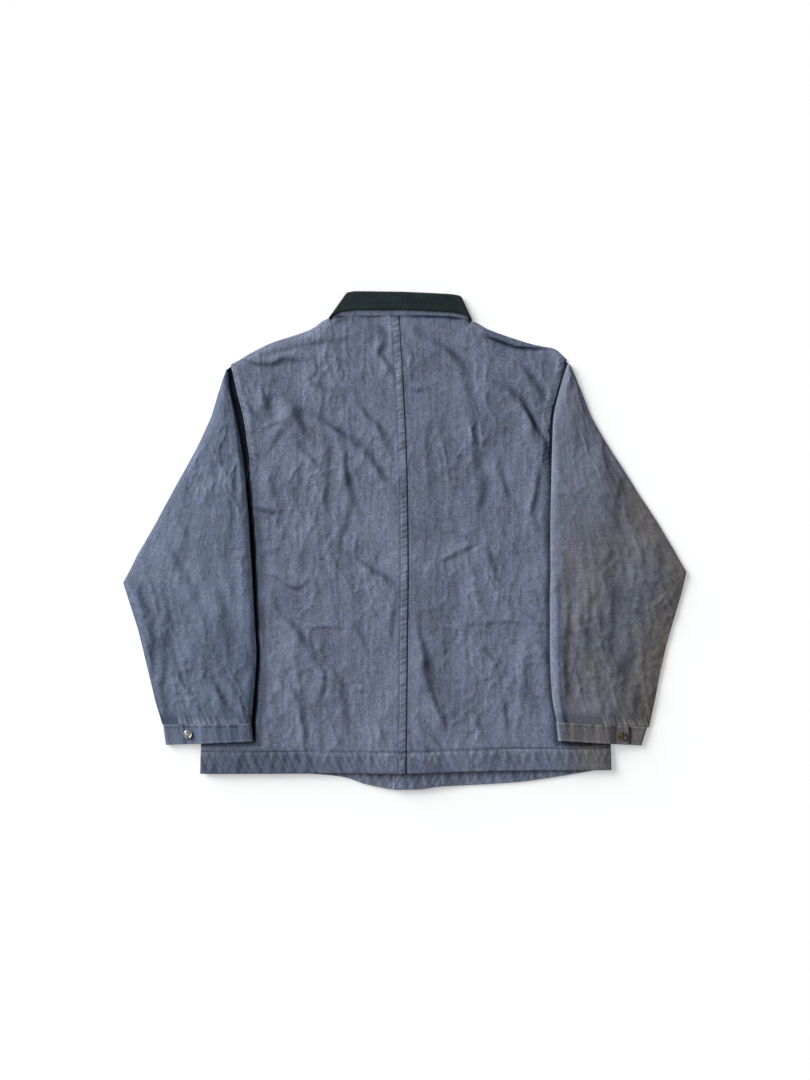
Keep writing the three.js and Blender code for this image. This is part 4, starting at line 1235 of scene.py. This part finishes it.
def sleeve_piece(context, side):
    sizes = context.scene.jacket_sizes
    sign = OUTWARD[side]
    cloth = sizes.cloth / MM
    low = relief(f"sleeve_{side} low", (f"sleeve_{side}",), below=True, blur=1)
    top = relief(f"sleeve_{side} top", (f"sleeve_{side}",), blur=4)
    back = relief("back", ("back_left", "back_right"))
    cuff_top = relief(f"cuff_{side} top", (f"cuff_{side}",), blur=2)
    total = sum(COLUMNS.values())
    bounds = np.cumsum([0, COLUMNS["lower"], COLUMNS["upper"], COLUMNS["inner"]])
    across = crowd(COLUMNS["upper"], 150.0)

    def upper_height(x, y, share, v):
        full = np.sin(np.pi * np.clip(share, 0, 1)) ** 0.5
        z = top(x, y) - cloth / 2 + SLEEVE_LIFT * (0.55 + 0.45 * full)
        folds, deep = crease_height(x, y, SLEEVE_CREASES[side], 0.78 * sizes.creases)
        rumple = crumple(x, y, SEEDS[side]["rumple"], 1.15 * sizes.rumple / MM)
        if side == "left":
            ridge = bell(share - 0.93, 0.05) * 1.2
        else:
            ridge = bell(share - 0.92, 0.05) * 1.6 * ease(v * 3 - 1)
        z = z + folds + rumple + ridge
        gather = puckers(x, y, SEEDS[side]["gather"], 12.0, 0.3)
        near_cuff = ease((v - 0.93) / 0.07)
        z = z + 1.1 * (gather - 0.4) * ease((v - 0.86) / 0.12) * (1 - 0.6 * near_cuff)
        join = cuff_top(x, np.full_like(y, CUFFS[side]["top"][0][1] - 8)) - 0.8
        return z * (1 - near_cuff) + join * near_cuff, deep

    def place(i, j):
        v = 1 - j
        row = sleeve_row(side, v)
        column = np.round(i * total).astype(int)
        closed = v >= row["underarm"] - 1e-6
        inset = 68 + (30 - 68) * np.clip((v - row["underarm"]) / (1 - row["underarm"]), 0, 1)
        outer_x, outer_y = row["outer"], row["y"] - row["drop"]
        fold_x, fold_y = row["fold"], row["y"]
        shift = ease((v - row["underarm"]) / 0.03)
        seam_x = np.where(closed, (fold_x + sign * inset) * shift + row["arm_x"] * (1 - shift), row["arm_x"])
        seam_y = np.where(closed, fold_y * shift + row["arm_y"] * (1 - shift), row["arm_y"])
        outer_ground = low(outer_x - sign * 2, outer_y) + cloth / 2
        outer_top = outer_ground + 2.2 + 0.8 * SLEEVE_LIFT
        fold_ground = np.maximum(low(fold_x + sign * 3, fold_y), back(fold_x, fold_y) * closed) + cloth / 2
        fold_top = upper_height(fold_x + sign * 7, fold_y, np.full_like(v, 0.95), v)[0]
        ends = {"outer": (outer_ground + outer_top) / 2, "fold": (fold_ground + fold_top) / 2}

        in_lower = column <= bounds[1]
        in_upper = (column > bounds[1]) & (column < bounds[2])
        in_inner = column >= bounds[2]
        x, y, z = np.zeros_like(v), np.zeros_like(v), np.zeros_like(v)
        lay_x = np.zeros_like(v)

        t = np.clip(column / bounds[1], 0, 1)
        width = np.abs(outer_x - seam_x)
        t = 1 - (1 - t) ** 1.5
        lx, ly = seam_x + (outer_x - seam_x) * t, seam_y + (outer_y - seam_y) * t
        lz = low(lx, ly) + cloth / 2
        lz = ends["outer"] + (lz - ends["outer"]) * round_end((1 - t) * width / 5)
        x, y, z = np.where(in_lower, lx, x), np.where(in_lower, ly, y), np.where(in_lower, lz, z)
        lay_x = np.where(in_lower, 260 + 150 * (1 - t), lay_x)

        t = across[np.clip(column - bounds[1], 0, COLUMNS["upper"])]
        width = np.abs(outer_x - fold_x)
        ux, uy = outer_x + (fold_x - outer_x) * t, outer_y + (fold_y - outer_y) * t
        span = np.clip(width / 2, 1, 9)
        uz, deep = upper_height(ux, uy, t, v)
        uz = ends["outer"] + (uz - ends["outer"]) * round_end(t * width / span)
        uz = ends["fold"] + (uz - ends["fold"]) * round_end((1 - t) * width / span)
        x, y, z = np.where(in_upper, ux, x), np.where(in_upper, uy, y), np.where(in_upper, uz, z)
        lay_x = np.where(in_upper, 150 * t, lay_x)

        t = np.clip((column - bounds[2]) / COLUMNS["inner"], 0, 1)
        open_x, open_y = row["arm_x"], row["arm_y"]
        end_x = np.where(closed, seam_x, open_x)
        end_y = np.where(closed, seam_y, open_y)
        width = np.abs(end_x - fold_x) + 1e-6
        ix, iy = fold_x + (end_x - fold_x) * t**1.4, fold_y + (end_y - fold_y) * t**1.4
        on_body = (fold_x - row["arm_x"]) * sign < 0
        sunk = np.where(on_body, back(ix, iy) + 0.8, np.maximum(low(ix, iy) + cloth / 2 + 1.3, 1.2))
        rise = ease((t - 0.8) / 0.2)
        open_z = sunk * (1 - rise) + (back(row["arm_x"] - sign * 3, row["arm_y"]) - 1.9) * rise
        iz = np.where(closed, low(ix, iy) + cloth / 2, open_z)
        meet = low(seam_x, seam_y) + cloth / 2
        iz = np.where(closed, iz * (1 - t**3) + meet * t**3, iz)
        iz = ends["fold"] + (iz - ends["fold"]) * round_end(t**1.4 * width / 4)
        x, y, z = np.where(in_inner, ix, x), np.where(in_inner, iy, y), np.where(in_inner, iz, z)
        lay_x = np.where(in_inner, 150 + 60 * t, lay_x)

        length = 560 * v
        rubbed = bell(column - bounds[1], 3.0) + bell(column - bounds[2], 3.0)
        # Painted shade in the feet of the creases, and near-black painted shadow on the strip inside the fold and
        # on the layer beneath it.
        wedge = in_lower * ((x - fold_x) * sign < 1.5)
        shaded = np.where(
            in_upper, 0.36 * deep, np.where(in_inner | wedge, 1.7 if side == "left" else 1.3, 0)
        )
        # Left sleeve: painted shade on the shaded side of the fold and along the outer edge, more along the outer
        # edge towards the cuff.
        if side == "left":
            shaded = (
                shaded
                + 0.32 * in_upper * ease((9 - np.abs(x - fold_x)) / 4)
                + in_upper * (
                    0.34 * bell(x - outer_x, 4) + 0.1 * bell(x - outer_x, 9) * ease((v - 0.6) / 0.1)
                )
            )
        # Right sleeve: a painted highlight along the fold, and painted shade in the trough beside it.
        painted_highlight_strip = in_upper * (side == "right") * ease(1 - (np.abs(x - fold_x) - 9) / 4)
        shaded = (
            shaded + 0.5 * in_upper * (side == "right") * bell(x - fold_x - 14, 4) * ease((v - 0.5) / 0.2)
        )
        # The left sleeve is darker towards the cuff.
        if side == "left":
            shaded = shaded + in_upper * 0.13 * ease((v - 0.62) / 0.12)
        # Near the cuff, painted shade between the gathers and a painted highlight on them; rubbing along both
        # folds.
        comb = puckers(x, y, SEEDS[side]["comb"], 7.5, 0.4)
        shaded = shaded + 0.4 * in_upper * ease(1 - comb * 1.6) * ease((v - 0.955) / 0.03)
        wear = 0.25 * rubbed + (0.15 + 0.7 * comb) * ease((v - 0.972) / 0.02) + 0.16 * painted_highlight_strip
        return cloth_points(x, y, z, (lay_x, -length), wear=wear, deep=shaded)

    obj = grid_piece(f"sleeve_{side}_cloth", total, int(575 / (sizes.fineness / MM)), place, weld=True)
    face_up(obj, 0.7)
    if side == "right":

        def browned(x, y):
            outer, fold = sleeve_line(side, "outer", y), sleeve_line(side, "fold", y)
            inner_part = 0.45 * ease((x - fold - 11) / 14) * ease((180 - y) / 240)
            return (
                inner_part
                + 0.55 * ease(1 - (outer - x) / 70) * ease((240 - y) / 200)
                + 0.25 * cloth_noise(x, y, 90, 5)
            )

        brown_cast(obj, browned)
    thicken(obj, cloth)
    finish_piece(obj, materials(context)[side], f"sleeve_twill_{side}", f"sleeve_{side}")


class JACKET_OT_sleeves(bpy.types.Operator):
    """Lay the two sleeves down alongside the body and over its sides"""

    bl_idname = "jacket.sleeves"
    bl_label = "Sleeves"

    def execute(self, context):
        for side in SIDES:
            sleeve_piece(context, side)
        return {"FINISHED"}


# ---- The cuffs ----


def cuff_piece(context, side):
    sizes = context.scene.jacket_sizes
    sign = OUTWARD[side]
    cuff = CUFFS[side]
    top = relief(f"cuff_{side} flat", (f"cuff_{side}",), blur=1)
    low = relief(f"cuff_{side} low", (f"cuff_{side}",), below=True, blur=1)
    counts = {"tab": 22, "under": 70, "lap": 80}
    total = sum(counts.values())
    bounds = np.cumsum([0, *counts.values()])

    def place(i, j):
        down = 1 - j
        ends = {}
        for k, key in enumerate(("outer", "fold")):
            a, b = np.array(cuff["top"][k], float), np.array(cuff["bottom"][k], float)
            ends[key] = a + (b - a) * down[:, None]
        column = np.round(i * total).astype(int)
        outer_x, fold_x = ends["outer"][:, 0] - sign * 1.0, ends["fold"][:, 0] + sign * 1.0

        def edge_y(x):
            share = (x - outer_x) / (fold_x - outer_x)
            return ends["outer"][:, 1] + (ends["fold"][:, 1] - ends["outer"][:, 1]) * share

        mid_y = (cuff["top"][0][1] + cuff["bottom"][1][1]) / 2

        def under(x):
            return low(x, np.full_like(x, mid_y)) + 1.0

        def tab(x):
            return under(x) + 4.1

        def lap(x):
            inner_x = np.where((x - cuff["lap_end"]) * sign > -6, cuff["lap_end"] - sign * 6, x)
            return np.maximum(top(inner_x, np.full_like(x, mid_y)) - 1.0, 7.4)

        t = np.clip(column / bounds[1], 0, 1)
        x1 = cuff["tab_end"] + (outer_x - cuff["tab_end"]) * (1 - (1 - t) ** 1.4)
        nose = round_end(np.abs(outer_x - x1) / 3.2)
        middle = (tab(outer_x) + under(outer_x)) / 2
        z1 = middle + (tab(x1) - middle) * nose
        t = np.clip((column - bounds[1]) / counts["under"], 0, 1)
        s = 0.5 - 0.5 * np.cos(np.pi * t)
        x2 = outer_x + (fold_x - outer_x) * s
        nose_out = round_end(np.abs(outer_x - x2) / 3.2)
        nose_in = round_end(np.abs(fold_x - x2) / 3.2)
        middle_in = (under(fold_x) + lap(fold_x)) / 2
        z2 = middle + (under(x2) - middle) * nose_out
        z2 = middle_in + (z2 - middle_in) * nose_in
        t = np.clip((column - bounds[2]) / counts["lap"], 0, 1) ** 1.25
        lap_end = cuff["lap_end"] - sign * 2.5 * np.clip((down - 0.86) / 0.14, 0, 1) ** 2
        x3 = fold_x + (lap_end - fold_x) * t
        nose_lap = round_end(np.abs(fold_x - x3) / 4)
        z3 = middle_in + (lap(x3) - middle_in) * nose_lap
        wave = cloth_noise(x3, np.full_like(x3, 7), 30, SEEDS[side]["wave"], 2)
        rope = (
            0.6 * puckers(x3, down * CUFF_DEPTH, SEEDS[side]["cuff"][0], 17.0, 0.06)
            + 0.4 * puckers(x3, down * CUFF_DEPTH, SEEDS[side]["cuff"][1], 8.5, -0.15)
        )
        edges = bell(down, 0.12) + bell(down - 1.0, 0.12)
        stitch = bell(down - 0.14, 0.045) + bell(down - 0.88, 0.045)
        z3 = z3 + nose_lap * (0.5 * wave + 0.5 * (rope - 0.4) - 0.25 * stitch)
        first, second = column <= bounds[1], (column > bounds[1]) & (column <= bounds[2])
        x = np.where(first, x1, np.where(second, x2, x3))
        z = np.where(first, z1, np.where(second, z2, z3))
        y = edge_y(x)
        lay = (column * 1.6, -CUFF_DEPTH * down)
        wear = (
            np.clip(edges, 0, 1) * 0.5 * ease(rope + 0.1)
            + 0.35 * ease(rope * 1.6 - 0.7)
            + 0.35 * ease(1 - np.abs(x - cuff["lap_end"]) / 3) * ~first
        )
        # A darker tone overall, more on the left cuff; painted shade in the troughs between the ridges, along the
        # upper stitching and along the lapped edge.
        deep = (
            (0.2 if side == "left" else 0.08)
            + (0.32 if side == "left" else 0.2) * ease(1 - rope * 1.8) * ~first
            + 0.5 * bell(down - 0.14, 0.05) * ease(1 - rope)
            + 0.4 * bell(x - cuff['lap_end'] + sign, 1.5) * ~first
        )
        return cloth_points(x, y, z, lay, wear=wear, deep=deep)

    obj = grid_piece(f"cuff_{side}_cloth", total, 22, place)
    face_up(obj, 0.6)
    if side == "right":
        brown_cast(obj, lambda x, y: 0.85 * ease((x - cuff["top"][1][0] - 9) / 5))
    thicken(obj, sizes.cuff / MM, offset=0.0)
    finish_piece(obj, materials(context)[side], f"sleeve_twill_{side}", f"cuff_{side}")


class JACKET_OT_cuffs(bpy.types.Operator):
    """Wrap a cuff round each wrist and lap it over itself"""

    bl_idname = "jacket.cuffs"
    bl_label = "Cuffs"

    def execute(self, context):
        for side in SIDES:
            cuff_piece(context, side)
        return {"FINISHED"}


# ---- The collar ----


def collar_rows(share, keys):
    knots = np.arange(len(COLLAR)) / (len(COLLAR) - 1)
    rows = {}
    for key in keys:
        values = np.array([s[key] for s in COLLAR], float)
        rows[key] = np.stack([np.interp(share, knots, values[:, k]) for k in (0, 1)], axis=-1)
    rows["level"] = np.interp(share, knots, [s["level"] for s in COLLAR])
    rows["length"] = share * 560
    return rows


def collar_piece(context):
    sizes = context.scene.jacket_sizes
    front, stand, top = 1.1, 5.0, 7.0

    def place_leaf(i, j):
        rows = collar_rows(i, ("roll", "edge"))
        under = 0.12
        lap = np.clip((j - under) / (1 - under), 0, 1)
        way = rows["edge"] - rows["roll"]
        width = np.linalg.norm(way, axis=1)
        xy = rows["roll"] + way * lap[:, None]
        leaf_z = front + (top - front) * rows["level"]
        inner_z = front + 2.0 + (stand - front - 2.0) * rows["level"]
        middle = (leaf_z + inner_z) / 2
        nose = round_end(lap * width / 3.4)
        z = middle + (leaf_z - middle) * nose
        tuck = np.clip((under - j) / under, 0, 1)
        turned = round_end(tuck)
        z = np.where(j < under, middle + (inner_z - middle) * turned, z)
        xy = xy + np.where(j < under, tuck * 3.2 / np.maximum(width, 1), 0)[:, None] * way
        bend = cloth_noise(xy[:, 0], xy[:, 1], 40, 90, 2)
        z = z + rows["level"] * lap * (0.9 * bend + 0.35 * (puckers(xy[:, 0], xy[:, 1], 37, 13, 0.2) - 0.4))
        near_edge = (1 - lap) * width
        z = z - 0.35 * rows["level"] * bell(near_edge - 8.5, 1.2)
        z = z - 0.5 * rows["level"] * ease(1 - near_edge / 2.5)
        wear = 0.5 * ease(1 - near_edge / 2) + 0.35 * ease(1 - lap * width / 4)
        return cloth_points(xy[:, 0], xy[:, 1], z, (rows["length"], lap * width), wear=wear)

    leaf = grid_piece("collar_leaf_cloth", 330, 30, place_leaf)
    face_up(leaf, 0.6)
    thicken(leaf, sizes.leaf / MM, offset=0.0)
    finish_piece(leaf, materials(context)["corduroy"], "corduroy", "collar_leaf")

    def place_stand(i, j):
        rows = collar_rows(i, ("seam", "stand"))
        xy = rows["seam"] + (rows["stand"] - rows["seam"]) * j[:, None]
        z = 3.0 + (5.2 - 3.0) * rows["level"]
        lip = rows["level"] * ease(1 - j / 0.12)
        z = (
            z
            - 0.5 * lip
            + 0.3 * rows["level"] * (puckers(xy[:, 0], xy[:, 1], 41, 11, 0.3) - 0.4) * ease(1 - j / 0.5)
        )
        return cloth_points(xy[:, 0], xy[:, 1], z, (rows["length"], 36 * j), wear=0.3 * ease(1 - j / 0.1))

    stand_obj = grid_piece("collar_stand_cloth", 260, 14, place_stand)
    face_up(stand_obj, 0.6)
    thicken(stand_obj, sizes.cloth / MM, offset=0.0)
    finish_piece(stand_obj, materials(context)["body"], "twill", "collar_stand")


class JACKET_OT_collar(bpy.types.Operator):
    """Stand the collar on the neck and turn its corduroy leaf down"""

    bl_idname = "jacket.collar"
    bl_label = "Collar"

    def execute(self, context):
        collar_piece(context)
        return {"FINISHED"}


# ---- Tack buttons ----


def tack_button(name, node, radius, material, slot, down):
    """A cap with a rolled rim, its shank, and the tack inside the cloth, spun round one axis."""
    low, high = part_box(node)
    middle = (low + high) / 2
    height = (high.z - low.z) / MM
    r = radius / MM
    shank_top = height - 2.6 if height < 8 else 5.0
    profile = (
        (0, 0.35), (r * 0.40, 0.30), (r * 0.62, 0.55), (r * 0.70, 0.85), (r * 0.78, 0.55), (r * 0.90, 0.10),
        (r * 0.97, 0.45), (r, 1.2), (r * 0.97, 1.8), (r * 0.86, 2.3), (3.0, 2.4), (3.0, shank_top),
        (1.2, shank_top), (1.2, height - 1.0), (4.2, height - 1.0), (4.1, height - 0.3), (3.2, height), (0, height),
    )
    bm = bmesh.new()
    verts = [bm.verts.new((x * MM, 0, z * MM)) for x, z in profile]
    edges = [bm.edges.new(pair) for pair in zip(verts, verts[1:])]
    bmesh.ops.spin(
        bm, geom=verts + edges, cent=(0, 0, 0), axis=(0, 0, 1), angle=2 * math.pi, steps=40, use_merge=True,
        use_duplicate=False,
    )
    bmesh.ops.remove_doubles(bm, verts=bm.verts, dist=1e-6)
    if down:
        bmesh.ops.rotate(
            bm, verts=bm.verts, cent=(0, 0, height / 2 * MM), matrix=Matrix.Rotation(math.pi, 3, "X")
        )
    bmesh.ops.translate(bm, verts=bm.verts, vec=(middle.x, middle.y, low.z))
    bmesh.ops.recalc_face_normals(bm, faces=bm.faces)
    finish_piece(link_mesh(name, mesh_of(name, bm)), material, slot, node)


class JACKET_OT_buttons(bpy.types.Operator):
    """Set the tack buttons of the cuffs and of the front"""

    bl_idname = "jacket.buttons"
    bl_label = "Tack buttons"

    def execute(self, context):
        radius = context.scene.jacket_sizes.button
        metal = materials(context)
        tack_button("nickel_cuff_tack", "cuff_button_left", radius, metal["nickel"], "nickel", True)
        tack_button("brass_cuff_tack", "cuff_button_right", radius, metal["brass"], "dark_brass", True)
        for k in range(len(FRONT_BUTTON_YS)):
            tack_button(
                f"front_tack_{k + 1}", f"front_button_{k + 1}", radius, metal["brass"], "dark_brass", False
            )
        return {"FINISHED"}


# ---- Stitches ----


def surface_of(name):
    """A function that gives a piece's highest or lowest point over a place."""
    graph = bpy.context.evaluated_depsgraph_get()
    evaluated = bpy.data.objects[name].evaluated_get(graph)
    mesh = evaluated.to_mesh()
    tree = surface_tree(mesh)
    evaluated.to_mesh_clear()

    def at(x, y, below):
        start, way = (-1, 1) if below else (1, -1)
        return tree.ray_cast(Vector((x * MM, y * MM, start)), Vector((0, 0, way)))[0]

    return at


def sew(name, rows, pitch, material, slot, below=False):
    """Rows of stitches on pieces. Each row names a piece and a path."""
    bm = bmesh.new()
    surfaces = {}
    for piece, path in rows:
        if piece not in surfaces:
            surfaces[piece] = surface_of(piece)
        at = surfaces[piece]
        path = smooth_path(path, 2.0)
        lengths = np.concatenate([[0], np.cumsum(np.linalg.norm(np.diff(path, axis=0), axis=1))])
        for s in np.arange(pitch / 2, lengths[-1], pitch):
            ends = [
                [np.interp(s + d, lengths, path[:, k]) for k in (0, 1)]
                for d in (-0.36 * pitch, 0.36 * pitch)
            ]
            a, b = (at(*e, below) for e in ends)
            if a is None or b is None or abs(a.z - b.z) > 1.2 * MM:
                continue
            lift = Vector((0, 0, -0.06 * MM if below else 0.06 * MM))
            along_row = b - a
            turn = along_row.to_track_quat("X", "Z").to_matrix().to_4x4()
            shape = Matrix.Diagonal((along_row.length * 0.56, 0.30 * MM, 0.24 * MM, 1))
            bmesh.ops.create_icosphere(
                bm, subdivisions=1, radius=1, matrix=Matrix.Translation((a + b) / 2 + lift) @ turn @ shape
            )
    finish_piece(link_mesh(name, mesh_of(name, bm)), material, slot)


def seam_line(shift, low, high):
    ys = np.linspace(low, high, 24)
    return list(zip(centre_x(ys) + shift, ys))


def armhole_line(side, inset):
    sign = OUTWARD[side]
    table = [r for r in BODY_EDGE[side] if r[0] > 100]
    ys = np.linspace(table[0][0], table[-1][0] - 4, 16)
    return list(zip(outer_edge(side, ys) - sign * inset, ys))


class JACKET_OT_stitches(bpy.types.Operator):
    """Sew the seams, hems, cuffs, collar and pockets"""

    bl_idname = "jacket.stitches"
    bl_label = "Stitches"

    def execute(self, context):
        pitch = context.scene.jacket_sizes.stitch / MM
        made = materials(context)
        hem = HEM_DEPTH - HEM_STITCH
        rows = [
            *(("back_left_cloth", seam_line(-inset, -355, 344)) for inset in FELL_STITCHES),
            ("back_left_cloth", [(-1, -361 + hem), (-160, -361.5 + hem), (-314, -362 + hem)]),
            ("back_right_cloth", [(6, -361 + hem), (160, -357 + hem), (318, -356 + hem)]),
        ]
        for side in SIDES:
            rows += [(f"back_{side}_cloth", armhole_line(side, inset)) for inset in ARM_STITCHES]
            c = CUFFS[side]
            sign = OUTWARD[side]
            for share in CUFF_STITCHES:
                line = []
                for k in (1, 0):
                    a, b = np.array(c["top"][k]), np.array(c["bottom"][k])
                    line.append(a + (b - a) * share)
                line[0] = line[0] + np.array([sign * 3, 0])
                end = (
                    line[0]
                    + (line[1] - line[0]) * (
                        abs(c["lap_end"] - sign * 2.5 - line[0][0]) / abs(line[1][0] - line[0][0])
                    )
                )
                rows.append((f"cuff_{side}_cloth", [line[0], (line[0] + end) / 2, end]))
            x = c["lap_end"] - sign * 2.6
            rows.append((f"cuff_{side}_cloth", [(x, -290), (x, -300), (x, -311)]))
        sew("body_stitches", rows, pitch, made["thread"], "twill")
        rows = [
            (
                "back_right_cloth",
                [
                    (232 + 1.5 * k, 276 - 4.5 * k), (239 + 1.2 * k, 281 - 4.6 * k),
                    (246 + 0.6 * k, 285 - 4.8 * k),
                ],
            )
            for k in range(4)
        ]
        rows.append(("back_right_cloth", [(230, 288), (236, 274), (243, 262)]))
        sew("shoulder_stitches", rows, pitch, made["pale thread"], "twill")
        leaf = []
        for section in (s for s in COLLAR if s["level"] == 1):
            edge = np.array(section["edge"])
            way = np.array(section["roll"]) - edge
            leaf.append(edge + 8.5 * way / np.linalg.norm(way))
        sew("collar_stitches", [("collar_leaf_cloth", leaf)], pitch, made["green thread"], "corduroy")
        rows = []
        for side in SIDES:
            sign = OUTWARD[side]
            inner = CENTRE_X + sign * (POCKET["inner"] + EDGE_STITCH)
            outer = CENTRE_X + sign * (POCKET["inner"] + POCKET["width"] - EDGE_STITCH)
            top, bottom = POCKET["top"] - 2, POCKET["top"] - POCKET["depth"] + EDGE_STITCH
            piece = f"pocket_{side}_cloth"
            for a, b in (
                ((inner, top), (inner, bottom + POCKET_CORNER)),
                ((outer, top), (outer, bottom + POCKET_CORNER)),
                ((inner + sign * POCKET_CORNER, bottom), (outer - sign * POCKET_CORNER, bottom)),
                ((inner, top - 22), (outer, top - 22)),
            ):
                rows.append((piece, [a, ((a[0] + b[0]) / 2, (a[1] + b[1]) / 2), b]))
            hem_line = [(x, y + HEM_DEPTH - HEM_STITCH) for x, y in FRONT_HEM[side]]
            rows.append((f"front_{side}_cloth", hem_line))
            edge = FRONT_NECK[side][0][0] + sign * EDGE_STITCH
            rows.append((f"front_{side}_cloth", [(edge, -350), (edge, 0), (edge, 250)]))
        sew("front_stitches", rows, pitch, made["thread"], "twill", below=True)
        return {"FINISHED"}


# ---- Stage ----

FLOOR_HALF, FLOOR_Z = 6, -0.0004
SUN_WIDTH = 34  # degrees across
SUNS = (("window", 2.7, (0.79, -0.33, -0.52)), ("wall", 5.6, (0.74, -0.60, -0.25)))
CAMERA_HEIGHT, SENSOR = 2.208, 36


class JACKET_OT_stage(bpy.types.Operator):
    """Set the pale floor, the soft light and the camera overhead"""

    bl_idname = "jacket.stage"
    bl_label = "Stage"

    def execute(self, context):
        scene = context.scene
        bm = bmesh.new()
        bmesh.ops.create_grid(bm, x_segments=1, y_segments=1, size=FLOOR_HALF)
        bmesh.ops.translate(bm, verts=bm.verts, vec=(0, 0, FLOOR_Z))
        floor = bpy.data.objects.new("floor", mesh_of("floor", bm))
        context.collection.objects.link(floor)
        white, _, shader = new_material("white paper")
        for socket, value in (
            ("Base Color", (0.56, 0.56, 0.56, 1)),
            ("Emission Color", (1, 1, 1, 1)),
            ("Emission Strength", 0.33),
            ("Roughness", 0.9),
            ("Specular IOR Level", 0.1),
        ):
            shader.inputs[socket].default_value = value
        floor.data.materials.append(white)

        world = bpy.data.worlds.new("studio")
        scene.world = world
        world.use_nodes = True
        sky = world.node_tree.nodes["Background"]
        sky.inputs["Color"].default_value = (0.94, 0.97, 1.0, 1)
        sky.inputs["Strength"].default_value = 0.32
        for name, strength, way in SUNS:
            sun = bpy.data.lights.new(name, "SUN")
            sun.energy, sun.angle = strength, math.radians(SUN_WIDTH)
            lamp = bpy.data.objects.new(name, sun)
            lamp.rotation_mode = "QUATERNION"
            lamp.rotation_quaternion = Vector(way).to_track_quat("-Z", "Y")
            context.collection.objects.link(lamp)

        camera = bpy.data.cameras.new("overhead")
        camera.sensor_width = SENSOR
        camera.lens = SENSOR * 2.2 / 1.674
        eye = bpy.data.objects.new("overhead", camera)
        eye.location = (0.0008, 0.0008, CAMERA_HEIGHT)
        context.collection.objects.link(eye)
        scene.camera = eye
        scene.view_settings.view_transform = "Standard"
        return {"FINISHED"}


# ---- The add-on ----

STEPS = (
    JACKET_OT_fronts, JACKET_OT_back, JACKET_OT_sleeves, JACKET_OT_cuffs, JACKET_OT_collar,
    JACKET_OT_buttons, JACKET_OT_stitches, JACKET_OT_stage,
)


class JACKET_PT_panel(bpy.types.Panel):
    """Settings and steps of the jacket"""

    bl_idname = "JACKET_PT_panel"
    bl_label = "Chore Jacket"
    bl_space_type = "VIEW_3D"
    bl_region_type = "UI"
    bl_category = "Jacket"

    def draw(self, context):
        for settings in (context.scene.jacket_sizes, context.scene.jacket_colours):
            for key in settings.__annotations__:
                self.layout.prop(settings, key)
        for step in STEPS:
            self.layout.operator(step.bl_idname)


CLASSES = (JacketSizes, JacketColours, *STEPS, JACKET_PT_panel)


def register():
    for cls in CLASSES:
        bpy.utils.register_class(cls)
    bpy.types.Scene.jacket_sizes = PointerProperty(type=JacketSizes)
    bpy.types.Scene.jacket_colours = PointerProperty(type=JacketColours)


def unregister():
    del bpy.types.Scene.jacket_colours
    del bpy.types.Scene.jacket_sizes
    for cls in reversed(CLASSES):
        bpy.utils.unregister_class(cls)


def main():
    register()
    for step in STEPS:
        group, name = step.bl_idname.split(".")
        getattr(getattr(bpy.ops, group), name)()


if __name__ == "__main__":
    main()
